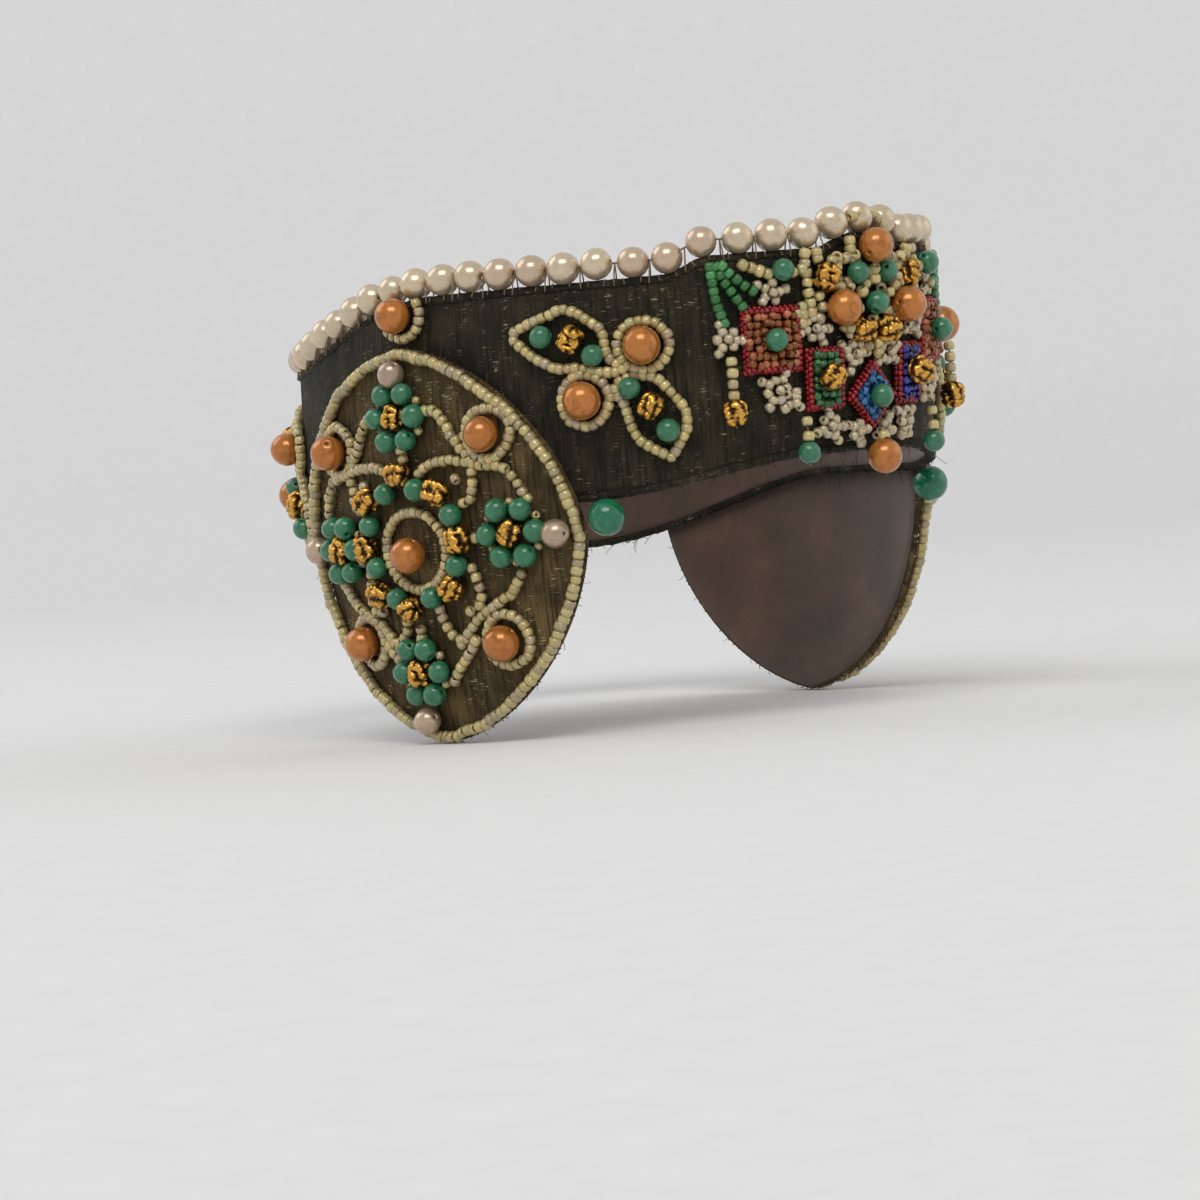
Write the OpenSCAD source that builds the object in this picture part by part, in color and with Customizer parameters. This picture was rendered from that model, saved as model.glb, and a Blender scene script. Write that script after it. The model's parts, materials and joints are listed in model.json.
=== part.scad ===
// Beaded fabric headband with two ear medallions, seed-bead embroidery and swinging drops.
// It is worn round the head: the wearer faces -Y, the wearer's right is -X, and +Z is up.
// Places on the fabric are [s, z, h]: s along the outer cover from the centre front towards the
// wearer's right, z up, and h out of the fabric. Left-hand pieces are mirrored right-hand ones.

/* [Head fit] */
// Radius of the front and back arcs of the head oval
end_radius = 68; // [60:0.5:80]
// Radius of the side arcs of the head oval
side_radius = 115; // [98:1:150]
// Turn of half an end arc, in degrees
end_angle = 50; // [42:1:56]
// Radius of the upright curve of the cloth
upright_radius = 400; // [280:10:900]
// Height of the widest level at the sides
widest_level = -12; // [-30:1:5]
// How much higher the widest level is at the front, where the band stands off the forehead
front_flare = 40; // [0:1:50]

/* [Band] */
// Height of the top edge at the sides
top_level = 19.5; // [14:0.5:26]
// Height of the bottom edge at the centre front
bottom_level = -27; // [-34:0.5:-26]
// Extra height of the front section
front_rise = 4; // [1:0.5:8]
// Extra height of the peak at the centre front
peak_rise = 3.5; // [1:0.5:6]
// How far both edges dip towards the nape
nape_dip = 17; // [6:1:24]
// Extra depth of the band at the sides
side_drop = 7.5; // [2:0.5:10]
// Thickness of the metal-thread cover
cover_t = 0.8; // [0.5:0.1:1.4]
// Thickness of the stiffener
stiffener_t = 1.2; // [0.6:0.1:2]
// Thickness of the silk lining
lining_t = 0.6; // [0.3:0.1:1]

/* [Medallion] */
// Distance of each medallion's centre from the centre front
medallion_s = 138; // [136:0.5:146]
// Height of each medallion's centre
medallion_z = -45; // [-50:0.5:-44]
// Half the medallion's corner to corner size
medallion_half = 53; // [46:0.5:56]
// Radius of each of the four edge arcs
medallion_arc = 62; // [60:1:100]
// Air gap between the band and a medallion
medallion_gap = 0.6; // [0.4:0.1:1.2]
// How far a medallion lifts away from the ear
medallion_lift = 30; // [10:1:40]

/* [Beads] */
// Diameter of an edging pearl
pearl_d = 8.3; // [6.8:0.1:8.5]
// Number of edging pearls round the band
pearl_count = 58; // [52:1:60]
// Diameter of a coral pearl
coral_d = 9.4; // [7.5:0.1:9.8]
// Diameter of a turquoise bead
turquoise_d = 6.1; // [4.8:0.1:6.3]
// Length of a gold nugget
nugget_l = 7.2; // [5.6:0.1:7.6]
// Diameter of a gold nugget
nugget_d = 6; // [4.6:0.1:6.4]
// Diameter of a jade drop
jade_d = 9.6; // [7:0.1:10.5]
// Diameter of a seed bead
seed_d = 3.1; // [2.2:0.1:3.4]
// Diameter of the thread hole through a bead
bore_d = 1; // [0.8:0.1:1.4]
// Diameter of the waxed thread
thread_d = 0.5; // [0.3:0.1:0.6]

/* [Closure] */
// Length of the tab that laps over at the back
tab_l = 22; // [17:1:28]
// Diameter of a press stud
stud_d = 7; // [5:0.5:9]
// Diameter of the ball of a press stud
ball_d = 2.4; // [1.6:0.1:3]

/* [Hidden] */

$fn = 40;
touch = 0.05;            // air between pieces that lie on each other
loose = 0.4;             // air round a piece that swings
end_len = end_radius * end_angle * PI / 180;
side_len = 2 * side_radius * (90 - end_angle) * PI / 180;
half_girth = 2 * end_len + side_len;
end_centre = (side_radius - end_radius) * cos(end_angle);
side_centre = (side_radius - end_radius) * sin(end_angle);
pearl_pitch = 2 * half_girth / pearl_count;
pearl_up = pearl_d / 2;
last_pearl = floor((half_girth - tab_l / 2) / pearl_pitch);
first_pearl = last_pearl - pearl_count + 1;
slit_s = (last_pearl + 0.5) * pearl_pitch;
slit_gap = 0.5;
band_back = -(cover_t + stiffener_t + lining_t);
layer_1 = medallion_gap;
layer_2 = layer_1 + 0.5;
layer_3 = layer_2 + 1;
layer_4 = layer_3 + 0.7;
crest_s = medallion_s;
crest_z = medallion_z + medallion_half + coral_d / 2 + 4.2;

// ---- the cloth's surface ----
function step_up(a, b, x) = let (t = min(1, max(0, (x - a) / (b - a)))) t * t * (3 - 2 * t);
function turn(u) = u < end_len ? u / end_radius * 180 / PI
    : u < end_len + side_len ? end_angle + (u - end_len) / side_radius * 180 / PI
    : 180 - end_angle + (u - end_len - side_len) / end_radius * 180 / PI;
function side_of(s) = s < 0 ? 1 : -1;
function out_dir(s) = let (a = turn(abs(s))) [side_of(s) * sin(a), -cos(a), 0];
function base_pt(s) = let (u = abs(s), n = out_dir(s))
    u < end_len ? [0, -end_centre, 0] + end_radius * n
    : u < end_len + side_len ? [-side_of(s) * side_centre, 0, 0] + side_radius * n
    : [0, end_centre, 0] + end_radius * n;
function level(s) = widest_level + front_flare * (1 - step_up(0, 95, abs(s)));
function lean(s, z) = atan((z - level(s)) / upright_radius);
function normal(s, z) = let (a = lean(s, z)) cos(a) * out_dir(s) + [0, 0, sin(a)];
function surf(s, z, h) = base_pt(s) + [0, 0, z]
    - out_dir(s) * pow(z - level(s), 2) / (2 * upright_radius) + h * normal(s, z);
function dip(s) = nape_dip * step_up(128, 215, abs(s));
function top_z(s) = top_level + front_rise * (1 - step_up(46, 60, abs(s)))
    + peak_rise * (1 - step_up(3, 17, abs(s))) - dip(s);
function bottom_z(s) = bottom_level - side_drop * step_up(15, 85, abs(s)) - dip(s);
function unit(v) = v / norm(v);

// Puts children on the surface: x to the viewer's right, y up the cloth, z out of it.
module on_cloth(s, z, h, spin = 0) {
    n = normal(s, z);
    x = unit(cross([0, 0, 1], n));
    y = cross(n, x);
    p = surf(s, z, h);
    multmatrix([[x[0], y[0], n[0], p[0]], [x[1], y[1], n[1], p[1]], [x[2], y[2], n[2], p[2]]])
        rotate([0, 0, spin]) children();
}
module left() { mirror([1, 0, 0]) children(); }
module both() { children(); mirror([1, 0, 0]) children(); }

// ---- closed skins from grids of points ----
// A sheet between two grids of points of the same size: rows by columns.
module sheet(back, front) {
    rows = len(front);
    cols = len(front[0]);
    flat = [for (g = [front, back]) for (r = g) for (p = r) p];
    function at(side, r, c) = side * rows * cols + r * cols + c;
    skin = [for (r = [0 : rows - 2]) for (c = [0 : cols - 2])
        for (t = [[at(0, r, c), at(0, r + 1, c), at(0, r + 1, c + 1)],
                  [at(0, r, c), at(0, r + 1, c + 1), at(0, r, c + 1)],
                  [at(1, r, c), at(1, r + 1, c + 1), at(1, r + 1, c)],
                  [at(1, r, c), at(1, r, c + 1), at(1, r + 1, c + 1)]]) t];
    ends = [for (c = [0 : cols - 2])
        for (t = [[at(0, 0, c), at(0, 0, c + 1), at(1, 0, c + 1)],
                  [at(0, 0, c), at(1, 0, c + 1), at(1, 0, c)],
                  [at(0, rows - 1, c), at(1, rows - 1, c + 1), at(0, rows - 1, c + 1)],
                  [at(0, rows - 1, c), at(1, rows - 1, c), at(1, rows - 1, c + 1)]]) t];
    sides = [for (r = [0 : rows - 2])
        for (t = [[at(0, r, 0), at(1, r, 0), at(1, r + 1, 0)],
                  [at(0, r, 0), at(1, r + 1, 0), at(0, r + 1, 0)],
                  [at(0, r, cols - 1), at(1, r + 1, cols - 1), at(1, r, cols - 1)],
                  [at(0, r, cols - 1), at(0, r + 1, cols - 1), at(1, r + 1, cols - 1)]]) t];
    polyhedron(flat, concat(skin, ends, sides), convexity = 6);
}
// A tube of radius rad along places [s, z, h].
module tube(places, rad, sides = 6, closed = false) {
    tube_through([for (q = places) surf(q[0], q[1], q[2])], [for (q = places) normal(q[0], q[1])],
        rad, sides, closed);
}
// A tube of radius rad through points, with its seam towards the normals.
module tube_through(pts, normals, rad, sides, closed = false) {
    n = len(pts);
    along = [for (i = [0 : n - 1]) unit(pts[closed ? (i + 1) % n : min(n - 1, i + 1)]
        - pts[closed ? (i + n - 1) % n : max(0, i - 1)])];
    across = [for (i = [0 : n - 1]) unit(cross(along[i], normals[i]))];
    skin_pts = [for (i = [0 : n - 1]) let (out = cross(across[i], along[i]))
        for (k = [0 : sides - 1]) pts[i]
            + rad * (cos(360 * k / sides) * out + sin(360 * k / sides) * across[i])];
    last = closed ? n - 1 : n - 2;
    skin = [for (i = [0 : last]) for (k = [0 : sides - 1])
        let (a = i * sides + k, b = i * sides + (k + 1) % sides,
             c = ((i + 1) % n) * sides + (k + 1) % sides, d = ((i + 1) % n) * sides + k)
        for (t = [[a, d, c], [a, c, b]]) t];
    caps = closed ? [] : [[for (k = [0 : sides - 1]) k],
        [for (k = [sides - 1 : -1 : 0]) (n - 1) * sides + k]];
    polyhedron(skin_pts, concat(skin, caps), convexity = 8);
}

// ---- beads ----
// A round bead with its thread hole along z.
module drilled(d) {
    difference() {
        sphere(d = d);
        cylinder(d = bore_d, h = 2 * d, center = true);
    }
}
// A round bead that lies on the cloth, with its hole along the cloth.
module bead(s, z, lift, d, spin = 0) {
    on_cloth(s, z, lift + d / 2 + touch, spin) rotate([0, 90, 0]) drilled(d);
}
// A ribbed nugget: a short drum with two collars and a thread hole, lying on the cloth.
module nugget(s, z, lift, spin = 0) {
    on_cloth(s, z, lift + nugget_d / 2 + touch, spin) rotate([0, 90, 0]) difference() {
        rotate_extrude() polygon([
            [0, -nugget_l / 2], [nugget_d * 0.36, -nugget_l / 2], [nugget_d / 2, -nugget_l * 0.32],
            [nugget_d * 0.4, 0], [nugget_d / 2, nugget_l * 0.32], [nugget_d * 0.36, nugget_l / 2],
            [0, nugget_l / 2]]);
        cylinder(d = bore_d, h = 2 * nugget_l, center = true);
    }
}
// A row of seed beads strung along places on the cloth, as one plain cord.
module seed_row(spots, lift, sides = 6) {
    tube([for (q = spots) [q[0], q[1], lift + seed_d / 2 + touch]], seed_d / 2, sides);
}
// A ring of seed beads round a place on the cloth.
module seed_ring(s, z, lift, rad, count = 14) {
    tube([for (i = [0 : count - 1]) [s - rad * cos(360 * i / count), z + rad * sin(360 * i / count),
        lift + seed_d / 2 + touch]], seed_d / 2, 6, true);
}

// ---- the band ----
band_stations = 100;
band_rows = 4;
band_from = -(2 * half_girth - slit_s) + slit_gap / 2;
band_to = slit_s - slit_gap / 2;
module band_layer(h0, h1) {
    function grid(h) = [for (i = [0 : band_stations]) let (s = band_from
        + (band_to - band_from) * i / band_stations)
        [for (j = [0 : band_rows]) surf(s, bottom_z(s) + (top_z(s) - bottom_z(s)) * j / band_rows, h)]];
    sheet(grid(h0), grid(h1));
}
module band_cover() { color("#4b4536") band_layer(-cover_t, 0); }
module band_stiffener() { color("#8a8068") band_layer(-cover_t - stiffener_t, -cover_t); }
module band_lining() { color("#6d5a3c") band_layer(band_back, -cover_t - stiffener_t); }
binding_r = 1;
module binding(edge_up) {
    tube([for (i = [0 : band_stations]) let (s = band_from + (band_to - band_from) * i / band_stations)
        [s, edge_up ? top_z(s) + binding_r + touch : bottom_z(s) - binding_r - touch, band_back / 2]],
        binding_r);
}
module top_binding() { color("#5a5240") binding(true); }
module bottom_binding() { color("#3e3a2e") binding(false); }

// ---- the pearl edging ----
function pearl_s(i) = i * pearl_pitch;
function steep(s) = let (slope = (top_z(s + 1) - top_z(s - 1)) / 2) sqrt(1 + slope * slope);
function pearl_z(s) = top_z(s) + binding_r + 6 * touch + (binding_r + pearl_up) * steep(s);
function pearl_pt(s) = surf(s, pearl_z(s), band_back / 2);
peak_each_side = 2;
stitch_d = 0.3;
function pearl_dir(i) = unit(pearl_pt(pearl_s(i + 0.5)) - pearl_pt(pearl_s(i - 0.5)));
module pearl(i) {
    dir = pearl_dir(i);
    translate(pearl_pt(pearl_s(i))) rotate([0, acos(dir[2]), atan2(dir[1], dir[0])]) drilled(pearl_d);
}
module pearls(from, to) { for (i = [from : to]) pearl(i); }
module pearl_edging() {
    color("#e6dcc6") {
        pearls(peak_each_side + 1, last_pearl);
        pearls(first_pearl, -peak_each_side - 1);
    }
}
module peak_pearls() { color("#ece4d0") pearls(-peak_each_side, peak_each_side); }
module pearl_thread() {
    ends = [for (i = [first_pearl : last_pearl]) for (side = [-1, 1]) [i, side]];
    color("#b9ab8c") tube_through(
        [for (e = ends) pearl_pt(pearl_s(e[0])) + e[1] * pearl_up * pearl_dir(e[0])],
        [for (e = ends) normal(pearl_s(e[0]), pearl_z(pearl_s(e[0])))], thread_d / 2, 5);
}
module pearl_stitches() {
    color("#b9ab8c") for (i = [first_pearl : last_pearl - 1]) {
        s = pearl_s(i + 0.5);
        foot = top_z(s) + binding_r * (1 + steep(s)) + 4 * touch;
        translate(surf(s, foot, band_back / 2))
            cylinder(d = stitch_d, h = pearl_z(s) - foot - thread_d);
    }
}

// ---- the sprays: two coral pearls in rings and two leaves, on each quarter of the band ----
spray_s = 75;
spray_z = -4;
back_spray_s = 226;
back_spray_z = -24;
spray_tilt = -6;
function turned(p, q, a) = [p * cos(a) - q * sin(a), p * sin(a) + q * cos(a)];
function on_spray(s, z, p, q) = let (t = turned(p, q, spray_tilt)) [s - t[0], z + t[1]];
leaf_l = 25;
leaf_w = 7.3;
leaf_r = seed_d / 2;
// The two leaves point up to one side and down to the other.
leaf_from = [[-2.2, 2.6], [3.4, -2.4]];
leaf_turn = [157, -48];
coral_spots = [[9, 8.6], [-9, -7]];
coral_ring_r = coral_d / 2 + seed_d / 2 + 0.3;
function leaf_pt(k, t) = let (a = 360 * t, x = leaf_l / 2 * (1 - cos(a)),
        y = leaf_w * sin(a) * (0.72 + 0.28 * sin(180 * x / leaf_l)))
    leaf_from[k] + turned(x, y, leaf_turn[k]);
leaf_bead_at = [0.24, 0.52, 0.8];
function leaf_bead(k, i) = leaf_from[k] + turned(leaf_l * leaf_bead_at[i], 0, leaf_turn[k]);
module spray_seeds(s, z) {
    for (k = [0, 1]) {
        steps = 20;
        tube([for (i = [0 : steps - 1]) let (q = leaf_pt(k, i / steps), w = on_spray(s, z, q[0], q[1]))
            [w[0], w[1], leaf_r + touch]], leaf_r, 6, true);
        c = on_spray(s, z, coral_spots[k][0], coral_spots[k][1]);
        seed_ring(c[0], c[1], 0, coral_ring_r, 12);
    }
}
module per_spray() {
    both() {
        at_front = [spray_s, spray_z];
        at_back = [back_spray_s, back_spray_z];
        for (c = [at_front, at_back]) {
            $spray_s = c[0];
            $spray_z = c[1];
            children();
        }
    }
}
module front_spray_seeds() { color("#cfc08c") both() spray_seeds(spray_s, spray_z); }
module back_spray_seeds() { color("#cfc08c") both() spray_seeds(back_spray_s, back_spray_z); }
module spray_coral_pearls() {
    color("#d9803f") per_spray() for (p = coral_spots) {
        w = on_spray($spray_s, $spray_z, p[0], p[1]);
        bead(w[0], w[1], 0, coral_d);
    }
}
module spray_turquoise_beads() {
    color("#3f9e7c") per_spray() for (k = [0, 1]) for (i = [0, 2]) {
        p = leaf_bead(k, i);
        w = on_spray($spray_s, $spray_z, p[0], p[1]);
        bead(w[0], w[1], 0, turquoise_d);
    }
}
module spray_gold_nuggets() {
    color("#c8922e") per_spray() for (k = [0, 1]) {
        p = leaf_bead(k, 1);
        w = on_spray($spray_s, $spray_z, p[0], p[1]);
        nugget(w[0], w[1], 0, leaf_turn[k] + spray_tilt + 90);
    }
}

// ---- the crest above each medallion ----
module crest_loops() {
    color("#cfc08c") both() tube([for (a = [150 : 30 : 390])
        [crest_s - coral_ring_r * cos(a), crest_z + coral_ring_r * sin(a), seed_d / 2 + touch]], seed_d / 2);
}
module crest_coral_pearls() { color("#d9803f") both() bead(crest_s, crest_z, 0, coral_d); }

// ---- the garland on the forehead ----
panel_t = 2.2;
blue_z = -14;
blue_half = 9.8;
green_spot = [16.6, -8.8];
green_size = [12.4, 17];
red_spot = [31.8, 2.4];
red_size = [17, 18];
module panel(s, z, w, h, spin) {
    steps = 4;
    function grid(lift) = [for (i = [steps : -1 : 0]) [for (j = [0 : steps])
        let (q = turned(w * (i / steps - 0.5), h * (j / steps - 0.5), spin)) surf(s - q[0], z + q[1], lift)]];
    sheet(grid(touch), grid(panel_t));
}
module garland_blue_panel() { color("#2d5f9c") panel(0, blue_z, blue_half * sqrt(2), blue_half * sqrt(2), 45); }
module right_green_panel() { color("#3f7a44") panel(green_spot[0], green_spot[1], green_size[0], green_size[1], 0); }
module left_violet_panel() {
    color("#3a2f7a") left() panel(green_spot[0], green_spot[1], green_size[0], green_size[1], 0);
}
module right_red_panel() { color("#a51523") panel(red_spot[0], red_spot[1], red_size[0], red_size[1], 0); }
module left_red_panel() { left() right_red_panel(); }
// Woven white blossoms: [s, z, radius].
blossom_spots = [[31, 14.9, 3.2], [43.8, 3.4, 3.2], [31, -10.8, 3.6], [19.2, 4.6, 3.2], [6.6, -3, 3.2],
    [15.4, -21.6, 3.2], [5.4, -23.4, 2.6]];
module right_blossoms() {
    color("#d8cfa8") for (b = blossom_spots) on_cloth(b[0], b[1], touch) cylinder(r = b[2], h = 2.6);
}
module left_blossoms() { left() right_blossoms(); }
frond_top = [47, 22.6];
frond_feet = [[44.6, 8.6], [41.4, 13.2], [37.6, 16]];
frond_r = 1.3;
module fronds() {
    color("#3f8a3f") both() for (k = [0 : 2]) {
        steps = 3;
        first = [frond_top[0] - k * 2.9, frond_top[1]];
        tube([for (i = [0 : steps]) let (q = first + (frond_feet[k] - first) * i / steps)
            [q[0], q[1], frond_r + touch + k * 0.1]], frond_r);
    }
}
// Cream swags that hang from the pearl edging and meet at the gold nugget.
module swag(from, to, sag) {
    steps = 5;
    seed_row([for (i = [0 : steps]) let (t = i / steps) from + (to - from) * t - [0, 4 * sag * t * (1 - t)]], 0);
}
crown_nugget = [16, 18];
brow_nugget = [4.4, 3.4];
crown_coral = [12, 9.6];
module crown_swags() {
    color("#cfc08c") both() {
        swag([37, 22.4], [32.4, 20.2], 0.6);
        swag([21, 21.6], [21, 9.8], 0);
        swag([7, 24.2], [11.4, 23.2], 0);
    }
}
module crown_coral_pearls() {
    color("#d9803f") {
        bead(0, top_z(0) - 1.5, 0, coral_d);
        both() bead(crown_coral[0], crown_coral[1], 0, coral_d);
    }
}
crown_turquoise_spots = [[28.2, 20.4], [5.4, 18.6]];
module crown_turquoise_beads() {
    color("#3f9e7c") {
        both() for (p = crown_turquoise_spots) bead(p[0], p[1], 0, turquoise_d);
        both() bead(red_spot[0], red_spot[1], panel_t, turquoise_d);
        bead(0, blue_z, panel_t, turquoise_d);
        bead(0, 10.4, 0, turquoise_d);
    }
}
module crown_gold_nuggets() {
    color("#c8922e") {
        both() nugget(crown_nugget[0], crown_nugget[1], 0, 90);
        both() nugget(green_spot[0], green_spot[1], panel_t, 60);
        both() nugget(brow_nugget[0], brow_nugget[1], 0, 0);
    }
}

// ---- the medallions, drawn for the right ear ----
medallion_rings = 5;
medallion_sides = 40;
// Distance from the centre to the edge at an angle: four arcs that meet at the corners.
arc_back = let (chord = medallion_half * sqrt(2) / 2) sqrt(medallion_arc * medallion_arc - chord * chord)
    - medallion_half / sqrt(2);
function edge_r(a) = let (b = a - 90 * floor(a / 90) - 45)
    sqrt(medallion_arc * medallion_arc - pow(arc_back * sin(b), 2)) - arc_back * cos(b);
function on_medallion(p, q) = [medallion_s - p, medallion_z + q];
function disc_pt(k, a, shrink, h) = let (r = (edge_r(a) - shrink) * k / medallion_rings)
    surf(medallion_s - r * cos(a), medallion_z + r * sin(a), h);
module medallion_layer(h0, h1, shrink = 0) {
    m = medallion_sides;
    n = medallion_rings;
    pts = [for (h = [h1, h0]) for (q = [[surf(medallion_s, medallion_z, h)],
        [for (k = [1 : n]) for (i = [0 : m - 1]) disc_pt(k, 360 * i / m, shrink, h)]]) each q];
    half = 1 + n * m;
    function id(side, k, i) = side * half + (k == 0 ? 0 : 1 + (k - 1) * m + i % m);
    fans = [for (i = [0 : m - 1]) for (t = [[id(0, 0, 0), id(0, 1, i + 1), id(0, 1, i)],
        [id(1, 0, 0), id(1, 1, i), id(1, 1, i + 1)]]) t];
    quads = [for (k = [1 : n - 1]) for (i = [0 : m - 1])
        for (t = [[id(0, k, i), id(0, k, i + 1), id(0, k + 1, i + 1)],
                  [id(0, k, i), id(0, k + 1, i + 1), id(0, k + 1, i)],
                  [id(1, k, i), id(1, k + 1, i + 1), id(1, k, i + 1)],
                  [id(1, k, i), id(1, k + 1, i), id(1, k + 1, i + 1)]]) t];
    rim = [for (i = [0 : m - 1]) for (t = [[id(0, n, i), id(0, n, i + 1), id(1, n, i + 1)],
        [id(0, n, i), id(1, n, i + 1), id(1, n, i)]]) t];
    polyhedron(pts, concat(fans, quads, rim), convexity = 6);
}
border_in = 1.2;
pearl_spot = medallion_half - 7.5;
coral_spot = 0.52 * medallion_half;
ring_r = 10.6;
circlet_r = 17.4;
rosette_at = 33.4;
rosette_r = 7.1;
small_pearl_d = 7.2;
junction = 0.43 * medallion_half;
tendril_ends = [[10.4, 36.6], [5.6, 20.6]];
module medallion_border() {
    m = 64;
    tube([for (i = [0 : m - 1]) let (a = 360 * i / m, r = edge_r(a) - border_in)
        [medallion_s - r * cos(a), medallion_z + r * sin(a), layer_4 + seed_d / 2 + touch]], seed_d / 2, 6, true);
}
module medallion_rings_of_seeds() {
    seed_ring(medallion_s, medallion_z, layer_4, ring_r, 16);
    for (a = [45 : 90 : 315]) {
        c = on_medallion(coral_spot * sqrt(2) * cos(a), coral_spot * sqrt(2) * sin(a));
        seed_ring(c[0], c[1], layer_4, coral_ring_r, 12);
    }
}
module tendril(a, flip) {
    for (e = tendril_ends) {
        steps = 4;
        from = [junction - 3.4, junction - 1.3];
        spots = [for (i = [0 : steps]) let (t = i / steps, bow = (e[0] < 8 ? 1.6 : 0.8) * 4 * t * (1 - t))
            from + (e - from) * t + [0.4, 1] * bow];
        seed_row([for (p = spots) let (m = flip ? [p[1], p[0]] : p, w = turned(m[0], m[1], a))
            on_medallion(w[0], w[1])], layer_4);
    }
}
module medallion_tendrils() {
    for (a = [0 : 90 : 270]) {
        tendril(a, false);
        tendril(a, true);
    }
}
module medallion_corals() {
    bead(medallion_s + 0.8, medallion_z - 1.2, layer_4, coral_d);
    for (a = [45 : 90 : 315]) {
        c = on_medallion(coral_spot * sqrt(2) * cos(a), coral_spot * sqrt(2) * sin(a));
        bead(c[0], c[1], layer_4, coral_d);
    }
}
module medallion_turquoises() {
    for (a = [22.5 : 45 : 337.5]) {
        c = on_medallion(circlet_r * cos(a), circlet_r * sin(a));
        bead(c[0], c[1], layer_4, turquoise_d, a + 90);
    }
    for (a = [0 : 90 : 270]) for (b = [30 : 60 : 330]) {
        c = on_medallion(rosette_at * cos(a) + rosette_r * cos(a + b), rosette_at * sin(a) + rosette_r * sin(a + b));
        bead(c[0], c[1], layer_4, turquoise_d, a + b + 90);
    }
}
module medallion_nuggets() {
    for (a = [0 : 45 : 315]) {
        c = on_medallion((circlet_r + 0.6) * cos(a), (circlet_r + 0.6) * sin(a));
        nugget(c[0], c[1], layer_4, a);
    }
    for (a = [0 : 90 : 270]) {
        c = on_medallion(rosette_at * cos(a), rosette_at * sin(a));
        nugget(c[0], c[1], layer_4, a + 8);
    }
}
module medallion_pearls() {
    for (a = [0 : 90 : 270]) {
        c = on_medallion(pearl_spot * cos(a), pearl_spot * sin(a));
        bead(c[0], c[1], layer_4, small_pearl_d, a);
    }
}
module right_medallion_cover() { color("#6b5d3e") medallion_layer(layer_3, layer_4); }
module right_medallion_stiffener() { color("#8a8068") medallion_layer(layer_2, layer_3); }
module right_medallion_lining() { color("#6b3f22") medallion_layer(layer_1, layer_2); }
module right_medallion_border() { color("#cfc08c") medallion_border(); }
module right_medallion_rings() { color("#c6b684") medallion_rings_of_seeds(); }
module right_medallion_tendrils() { color("#bfb080") medallion_tendrils(); }
module right_medallion_corals() { color("#d9803f") medallion_corals(); }
module right_medallion_turquoises() { color("#3f9e7c") medallion_turquoises(); }
module right_medallion_nuggets() { color("#c8922e") medallion_nuggets(); }
module right_medallion_pearls() { color("#d8c8b0") medallion_pearls(); }
module left_medallion_cover() { left() right_medallion_cover(); }
module left_medallion_stiffener() { left() right_medallion_stiffener(); }
module left_medallion_lining() { left() right_medallion_lining(); }
module left_medallion_border() { left() right_medallion_border(); }
module left_medallion_rings() { left() right_medallion_rings(); }
module left_medallion_tendrils() { left() right_medallion_tendrils(); }
module left_medallion_corals() { left() right_medallion_corals(); }
module left_medallion_turquoises() { left() right_medallion_turquoises(); }
module left_medallion_nuggets() { left() right_medallion_nuggets(); }
module left_medallion_pearls() { left() right_medallion_pearls(); }

// ---- the swinging drops: a bead below a short string that starts at its hinge ----
// A drop hangs straight down from [s, z] with its string h out of the cloth.
drop_out = 4.6;
module drop(s, z, h, string, string_r, bead_d) {
    translate(surf(s, z, h)) {
        translate([0, 0, -string]) cylinder(r = string_r, h = string - loose);
        translate([0, 0, -string - bead_d / 2 - touch]) drilled(bead_d);
    }
}
gold_drop = [43.8, -1.2];
turquoise_drop = [24.6, -18];
coral_drop_z = bottom_z(0) + 3.5;
jade_drop_s = medallion_s - medallion_half - 6;
module forehead_coral_drop() { color("#d9803f") drop(0, coral_drop_z, coral_d / 2 + 0.9, 1.6, seed_d / 2, coral_d); }
module right_turquoise_drop() {
    color("#3f9e7c") drop(turquoise_drop[0], turquoise_drop[1], drop_out, 6.4, seed_d / 2, turquoise_d);
}
module left_turquoise_drop() { left() right_turquoise_drop(); }
module right_gold_drop() {
    color("#c8922e") translate(surf(gold_drop[0], gold_drop[1], drop_out)) {
        translate([0, 0, -11]) cylinder(r = seed_d / 2, h = 11 - loose);
        translate([0, 0, -11 - touch]) mirror([0, 0, 1]) difference() {
            union() {
                cylinder(d1 = nugget_d * 0.72, d2 = nugget_d, h = nugget_l / 2);
                translate([0, 0, nugget_l / 2]) cylinder(d1 = nugget_d, d2 = nugget_d * 0.72, h = nugget_l / 2);
            }
            translate([0, 0, -1]) cylinder(d = bore_d, h = nugget_l + 2);
        }
    }
}
module left_gold_drop() { left() right_gold_drop(); }
module right_jade_drop() {
    color("#2a9468") drop(jade_drop_s, bottom_z(jade_drop_s), 2.6, 1.2, thread_d, jade_d);
}
module left_jade_drop() { left() right_jade_drop(); }

// ---- the back closure: a tab that laps over the slit and snaps shut ----
tab_in = 3;
tab_gap = 0.7;
stud_seat = 0.2;         // a flat stud sits this far inside the curved tab
tab_t = 1.6;
stud_t = 1;
stud_rise = tab_gap + stud_t;
tab_h = stud_rise + touch;
tab_s0 = slit_s + slit_gap;
tab_steps = 8;
function tab_low(s) = bottom_z(s) + tab_in;
function tab_high(s) = top_z(s) - tab_in;
module closing_tab() {
    function grid(h) = [for (i = [0 : tab_steps]) let (s = tab_s0 + tab_l * i / tab_steps)
        [for (j = [0 : 3]) surf(s, tab_low(s) + (tab_high(s) - tab_low(s)) * j / 3, h)]];
    color("#4b4536") sheet(grid(tab_h), grid(tab_h + tab_t));
}
stud_s = tab_s0 + tab_l - stud_d / 2 - 2.5;
function stud_z(k) = tab_low(stud_s) + (tab_high(stud_s) - tab_low(stud_s)) * (k + 0.5) / 3;
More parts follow.
